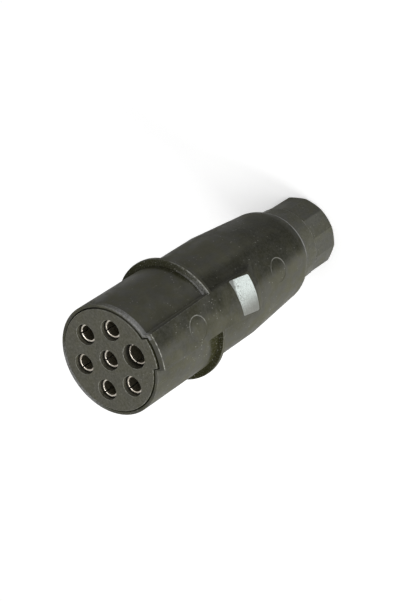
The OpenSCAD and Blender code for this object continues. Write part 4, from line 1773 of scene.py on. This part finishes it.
def rounded(points: Sequence[Point2], radius: float, steps: int = 3) -> list[Point2]:
    """Rounds every corner of a closed outline, except those on the axis.

    Args:
        points: the corners, in order.
        radius: the rounding, which short sides make smaller.
        steps: number of steps in each corner.

    Returns:
        The rounded outline.
    """
    made: list[Point2] = []
    for i, corner in enumerate(points):
        here = Vector(corner)
        before = Vector(points[i - 1]) - here
        after = Vector(points[(i + 1) % len(points)]) - here
        cut = min(radius, before.length * CORNER_SHARE, after.length * CORNER_SHARE)
        start = here + before.normalized() * cut
        end = here + after.normalized() * cut
        if min(here.x, cut) < LEAST_CORNER:
            made.append(corner)
            continue
        for t in spread(0, 1, steps):
            made.append(tuple(start * (1 - t) ** 2 + here * 2 * t * (1 - t) + end * t**2))
    return made


@dataclass
class SplitContact:
    """One turned contact: a split sleeve, a collar and a terminal barrel."""

    number: int
    slit_turn: float
    large: bool = False
    sleeve: Point2 = (3.2, 2.5)
    large_sleeve: Point2 = (3.6, 3.05)
    seat_d: float = 19.6
    collar_t: float = 2.4
    terminal_r: float = 3.4
    bore_l: float = 15.5
    slit_l: float = 12.0
    slit_w: float = 0.45
    slit_reach: float = 8.0
    wire_r: float = 2.1
    wire_l: float = 9.0
    screw_inset: float = 4.5
    screw_hole_r: float = 1.5
    edge: float = 0.24

    def build(self, bench: Workbench) -> None:
        """Makes the contact where the CAD has it.

        Args:
            bench: what turns and dresses it.
        """
        node = f"contact_{self.number}"
        start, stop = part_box(node)
        place = Vector(((start.x + stop.x) / 2, (start.y + stop.y) / 2, 0))
        low, high = start.z / MM, stop.z / MM
        collar = (stop.x - place.x) / MM
        outer, inner = self.large_sleeve if self.large else self.sleeve
        seat = FACE_Z - self.seat_d
        outline = [(outer, high), (outer, seat), (collar, seat), (collar, seat - self.collar_t),
                   (self.terminal_r, seat - self.collar_t), (self.terminal_r, low), (self.wire_r, low),
                   (self.wire_r, low + self.wire_l), (0, low + self.wire_l),
                   (0, high - self.bore_l), (inner, high - self.bore_l), (inner, high)]
        bench.turn(f"split_{node}", Slot.CONTACT, node, rounded(outline, self.edge, 4), segments=56,
            slits=3 if self.large else 2, slit_width=self.slit_w * MM, slit_length=self.slit_l * MM,
            slit_reach=self.slit_reach * MM, slit_turn=math.radians(self.slit_turn), top=stop.z,
            cross_radius=self.screw_hole_r * MM, cross_height=start.z + self.screw_inset * MM,
            cross_turn=math.atan2(place.y, place.x) if place.length > MM else 0.0,
            bore_radius=inner * MM, place=place)


@dataclass
class SlottedScrew:
    """One cheese-head screw with a slot and a ridged shank.

    Attributes:
        node: name of the CAD screw.
        out: direction from its tip to its head, or none for straight away from the plug's axis.
        tip_in: how much thinner the shank is at its tip.
        plain_l: how much of the shank's length has no ridges.
        slot_d: depth of the slot as a share of the head's height.
    """

    node: str
    out: Vector | None = None
    head_r: float = 2.2
    head_h: float = 1.2
    shank_r: float = 1.45
    pitch: float = 0.5
    groove: float = 0.2
    tip_in: float = 0.35
    plain_l: float = 0.8
    edge: float = 0.3
    slot_w: float = 0.6
    slot_d: float = 0.5
    slot_l: float = 6.0
    slot_turn: float = 0.6

    def outline(self, shank_l: float) -> list[Point2]:
        """Half section with the head's seat at height 0.

        Args:
            shank_l: length of the shank.

        Returns:
            The outline.
        """
        head = rounded([(0, self.head_h), (self.head_r, self.head_h), (self.head_r, 0),
            (self.shank_r, 0)], self.edge)
        ridges = []
        for i in range(int((shank_l - self.plain_l) / self.pitch)):
            z = -self.plain_l / 2 - i * self.pitch
            ridges += [(self.shank_r, z), (self.shank_r - self.groove, z - self.pitch * 0.5)]
        return [*head[:-1], *ridges, (self.shank_r - self.tip_in, -shank_l), (0, -shank_l)]

    def span(self, out: Vector) -> Point2:
        """Least and greatest distance of the CAD screw along its own axis, in metres."""
        reach = [out.dot(v.co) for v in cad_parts[self.node].data.vertices]
        return min(reach), max(reach)

    def build(self, bench: Workbench) -> None:
        """Makes the screw where the CAD has it.

        Args:
            bench: what turns and dresses it.
        """
        middle = sum(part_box(self.node), Vector()) / 2
        out = self.out or Vector((middle.x, middle.y, 0)).normalized()
        tip, top = self.span(out)
        seat = out * (top - self.head_h * MM) + Vector((0, 0, middle.z))
        outline = self.outline((top - tip) / MM - self.head_h)
        bench.turn(f"slotted_{self.node}", Slot.SCREW, self.node, outline, segments=32, slits=1,
            slit_width=self.slot_w * MM, slit_length=self.head_h * self.slot_d * MM,
            slit_start=-self.slot_l / 2 * MM, slit_reach=self.slot_l * MM, top=self.head_h * MM,
            slit_turn=self.slot_turn, tilt=out.to_track_quat("Z", "X").to_euler(), place=seat)


@dataclass
class GlandRing:
    """One ring inside the gland nut."""

    name: str
    node: str
    slot: Slot
    hole_r: float
    edge: float
    steps: int = 4
    slant: float = 0.0

    def build(self, bench: Workbench) -> None:
        """Makes the ring where the CAD has it.

        Args:
            bench: what turns and dresses it.
        """
        start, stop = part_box(self.node)
        low, high, outer = start.z / MM, stop.z / MM, stop.x / MM
        foot = [(outer - self.slant, low), (outer, low + self.slant)] if self.slant else [(outer, low)]
        outline = [(self.hole_r, low), *foot, (outer, high), (self.hole_r, high)]
        bench.turn(self.name, self.slot, self.node, rounded(outline, self.edge, self.steps), segments=96)


@dataclass
class ContactInsert:
    """The separate moulding with the seven holes and the tab, made from its CAD shape."""

    edge: float = 0.14
    side_r: float = 16.8
    # Painted shade on the insert's side in the gap: full below this turn, thin above it.
    shaded_turn: float = 25.0
    thin_shade: float = 0.1
    side_shade_from: float = 0.098

    def build(self, finishes: Finishes) -> None:
        """Makes the insert, with rounded edges and painted shade on its sides, in the gap round it.

        Args:
            finishes: the materials.
        """
        piece = merged_copy("contact_insert", "contact_carrier", self.edge)
        painted_shade = piece.data.attributes.new(PAINTED_SHADE_LAYER, "FLOAT", "POINT").data
        for vertex, value in zip(piece.data.vertices, painted_shade):
            spot = Spot.at(vertex.co)
            on_side = spot.reach > self.side_r and spot.depth > self.side_shade_from
            value.value = (1.0 if spot.turn < self.shaded_turn else self.thin_shade) if on_side else 0.0
        finishes.complete(piece, Slot.INSERT, "contact_insert")
        weight_normals(piece)


@dataclass
class GlandNut:
    """Cap nut with a round collar and twelve flats, made from its CAD shape."""

    edge: float = 0.2
    flat_turn: float = math.radians(24)

    def build(self, finishes: Finishes) -> None:
        """Makes the nut, with rounded edges.

        Args:
            finishes: the materials.
        """
        piece = merged_copy("gland_nut", "gland_cap", self.edge, self.flat_turn)
        finishes.complete(piece, Slot.NUT, "gland_nut")
        weight_normals(piece)


@dataclass
class InsertScrew:
    """The screw that holds the insert, with its hole and counterbore in the body's side."""

    turn: float = 120.0
    hole_r: float = 1.6
    counterbore_r: float = 2.8
    head_r: float = 2.6
    head_h: float = 1.3
    hole_l: float = 5.0
    clear: float = 2.0
    steps: int = 40

    @property
    def screw(self) -> SlottedScrew:
        """The screw itself."""
        return SlottedScrew("insert_screw", direction(self.turn), self.head_r, self.head_h)

    def cutters(self, body_r: float) -> list[bpy.types.Object]:
        """Rods that cut the hole and its counterbore.

        Args:
            body_r: the body's radius.

        Returns:
            The two rods.
        """
        out, up = direction(self.turn), Vector((0, 0, 1))
        side = up.cross(out)
        arms = [side * math.cos(a) + up * math.sin(a) for a in spread(0, math.tau, self.steps)[:-1]]
        middle = up * sum(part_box("insert_screw"), Vector()).z / 2
        seat = self.screw.span(out)[1] / MM - self.head_h
        rods = []
        for radius, start in ((self.hole_r, body_r - self.hole_l), (self.counterbore_r, seat)):
            rings = [[middle + (out * along + arm * radius) * MM for arm in arms]
                     for along in (start, body_r + self.clear)]
            rods.append(woven("rod", rings))
        return rods


@dataclass(frozen=True)
class SoftBox:
    """One large plain lamp."""

    name: str
    place: Colour
    power: float
    size: float = 0.45

    def hang(self, target: Vector) -> None:
        """Adds the lamp, turned to a target.

        Args:
            target: the point that it faces.
        """
        data = bpy.data.lights.new(self.name, "AREA")
        data.shape = "DISK"
        data.size = self.size
        data.energy = self.power
        lamp = bpy.data.objects.new(self.name, data)
        lamp.location = self.place
        lamp.rotation_mode = "QUATERNION"
        lamp.rotation_quaternion = (target - Vector(self.place)).to_track_quat("-Z", "Y")
        bpy.context.scene.collection.objects.link(lamp)


@dataclass
class Studio:
    """Pale floor, plain soft light and the camera at the photograph's viewing angle."""

    focal_px: float = 2009.5
    frame_px: tuple[int, int] = (401, 601)
    eye: Colour = (0.1386, -0.4436, 0.5352)
    right: Colour = (-0.3495, -0.7324, -0.5843)
    up: Colour = (0.9133, -0.1270, -0.3871)
    floor_half: float = 3.0
    floor_grey: float = 0.82
    floor_glow: float = 0.48
    world_level: float = 0.2
    lamps: tuple[SoftBox, ...] = (
        SoftBox("side_soft_box", (-0.624, -0.624, 0.233), 7.4),
        SoftBox("top_soft_box", (0.045, 0.0, 0.955), 2.9),
        SoftBox("front_soft_box", (0.0, -0.636, 0.691), 2.3),
    )

    def camera(self) -> None:
        """Places the camera and makes it the scene's."""
        data = bpy.data.cameras.new("view")
        data.sensor_width = 36.0
        data.lens = self.focal_px * data.sensor_width / max(self.frame_px)
        data.clip_start = 0.01
        eye = bpy.data.objects.new("view", data)
        right, up = Vector(self.right).normalized(), Vector(self.up).normalized()
        back = right.cross(up).normalized()
        turn = Matrix((right, back.cross(right), back)).transposed()
        eye.matrix_world = Matrix.Translation(self.eye) @ turn.to_4x4()
        bpy.context.scene.collection.objects.link(eye)
        bpy.context.scene.camera = eye

    @staticmethod
    def seen(sheet: NodeSheet) -> Any:
        """Mask that is 1 for rays that see a surface and 0 for those that only light it.

        Args:
            sheet: the node sheet.

        Returns:
            The mask's node.
        """
        rays = sheet.add("ShaderNodeLightPath").outputs
        return sheet.most(sheet.most(rays["Is Camera Ray"], rays["Is Transmission Ray"]),
            rays["Is Glossy Ray"])

    def floor(self) -> None:
        """Lays the pale floor that keeps the object's shadow."""
        half = self.floor_half
        mesh = bpy.data.meshes.new("floor")
        mesh.from_pydata([(-half, -half, 0), (half, -half, 0), (half, half, 0), (-half, half, 0)], [],
            [(0, 1, 2, 3)])
        floor = link_object("floor", mesh)
        material = bpy.data.materials.new("pale_floor")
        sheet = NodeSheet(NodeSheet.empty(material))
        paper = sheet.add("ShaderNodeBsdfDiffuse", {"Color": (*[self.floor_grey] * 3, 1)})
        glow = sheet.add("ShaderNodeEmission",
            {"Strength": sheet.times(self.seen(sheet), self.floor_glow)})
        both = sheet.add("ShaderNodeAddShader", {0: paper, 1: glow})
        sheet.add("ShaderNodeOutputMaterial", {"Surface": both})
        mesh.materials.append(material)
        floor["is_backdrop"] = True

    def world(self) -> None:
        """Lights the object evenly and shows white behind it."""
        world = bpy.data.worlds.new("surroundings")
        sheet = NodeSheet(NodeSheet.empty(world))
        level = sheet.plus(sheet.times(self.seen(sheet), 1 - self.world_level), self.world_level)
        light = sheet.add("ShaderNodeBackground", {"Strength": level})
        sheet.add("ShaderNodeOutputWorld", {"Surface": light})
        bpy.context.scene.world = world

    def build(self) -> None:
        """Sets up the view and the light."""
        bpy.context.scene.view_settings.view_transform = "Standard"
        self.camera()
        self.floor()
        self.world()
        middle = sum(CAD_BOX, Vector()) / 2
        for lamp in self.lamps:
            lamp.hang(middle)


def write_sizes() -> None:
    """Works out the CAD box and the dressed model's box as plain lists of numbers."""
    boxes = {"cad": CAD_BOX, "visual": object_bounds()}
    {name: [list(corner) for corner in box] for name, box in boxes.items()}


def main() -> None:
    """Builds the plug's pieces in order, then the view."""
    logging.basicConfig(level=logging.INFO, format="%(name)s %(message)s")
    finishes = Finishes()
    bench = Workbench(TurnedTree(), finishes)
    shell, label, insert_screw = HousingShell(), FoilLabel(), InsertScrew()
    shell.build(finishes, [label.pocket(), *insert_screw.cutters(shell.body_r)])
    label.build(finishes)
    ContactInsert().build(finishes)
    slit_turns = (25, 91, 80, 117, 112, 109, 93)
    for number, turn in enumerate(slit_turns, 1):
        SplitContact(number, turn, large=number == 1).build(bench)
        middle = number == len(slit_turns)
        SlottedScrew(f"terminal_screw_{number}", direction(0) if middle else None).build(bench)
    insert_screw.screw.build(bench)
    GlandRing("cable_seal", "cable_grommet", Slot.RUBBER, hole_r=6.5, edge=0.35, slant=1.0).build(bench)
    GlandRing("slip_washer", "slip_ring", Slot.RING, hole_r=7.3, edge=0.12, steps=3).build(bench)
    GlandNut().build(finishes)
    Studio().build()
    write_sizes()


if __name__ == "__main__":
    main()
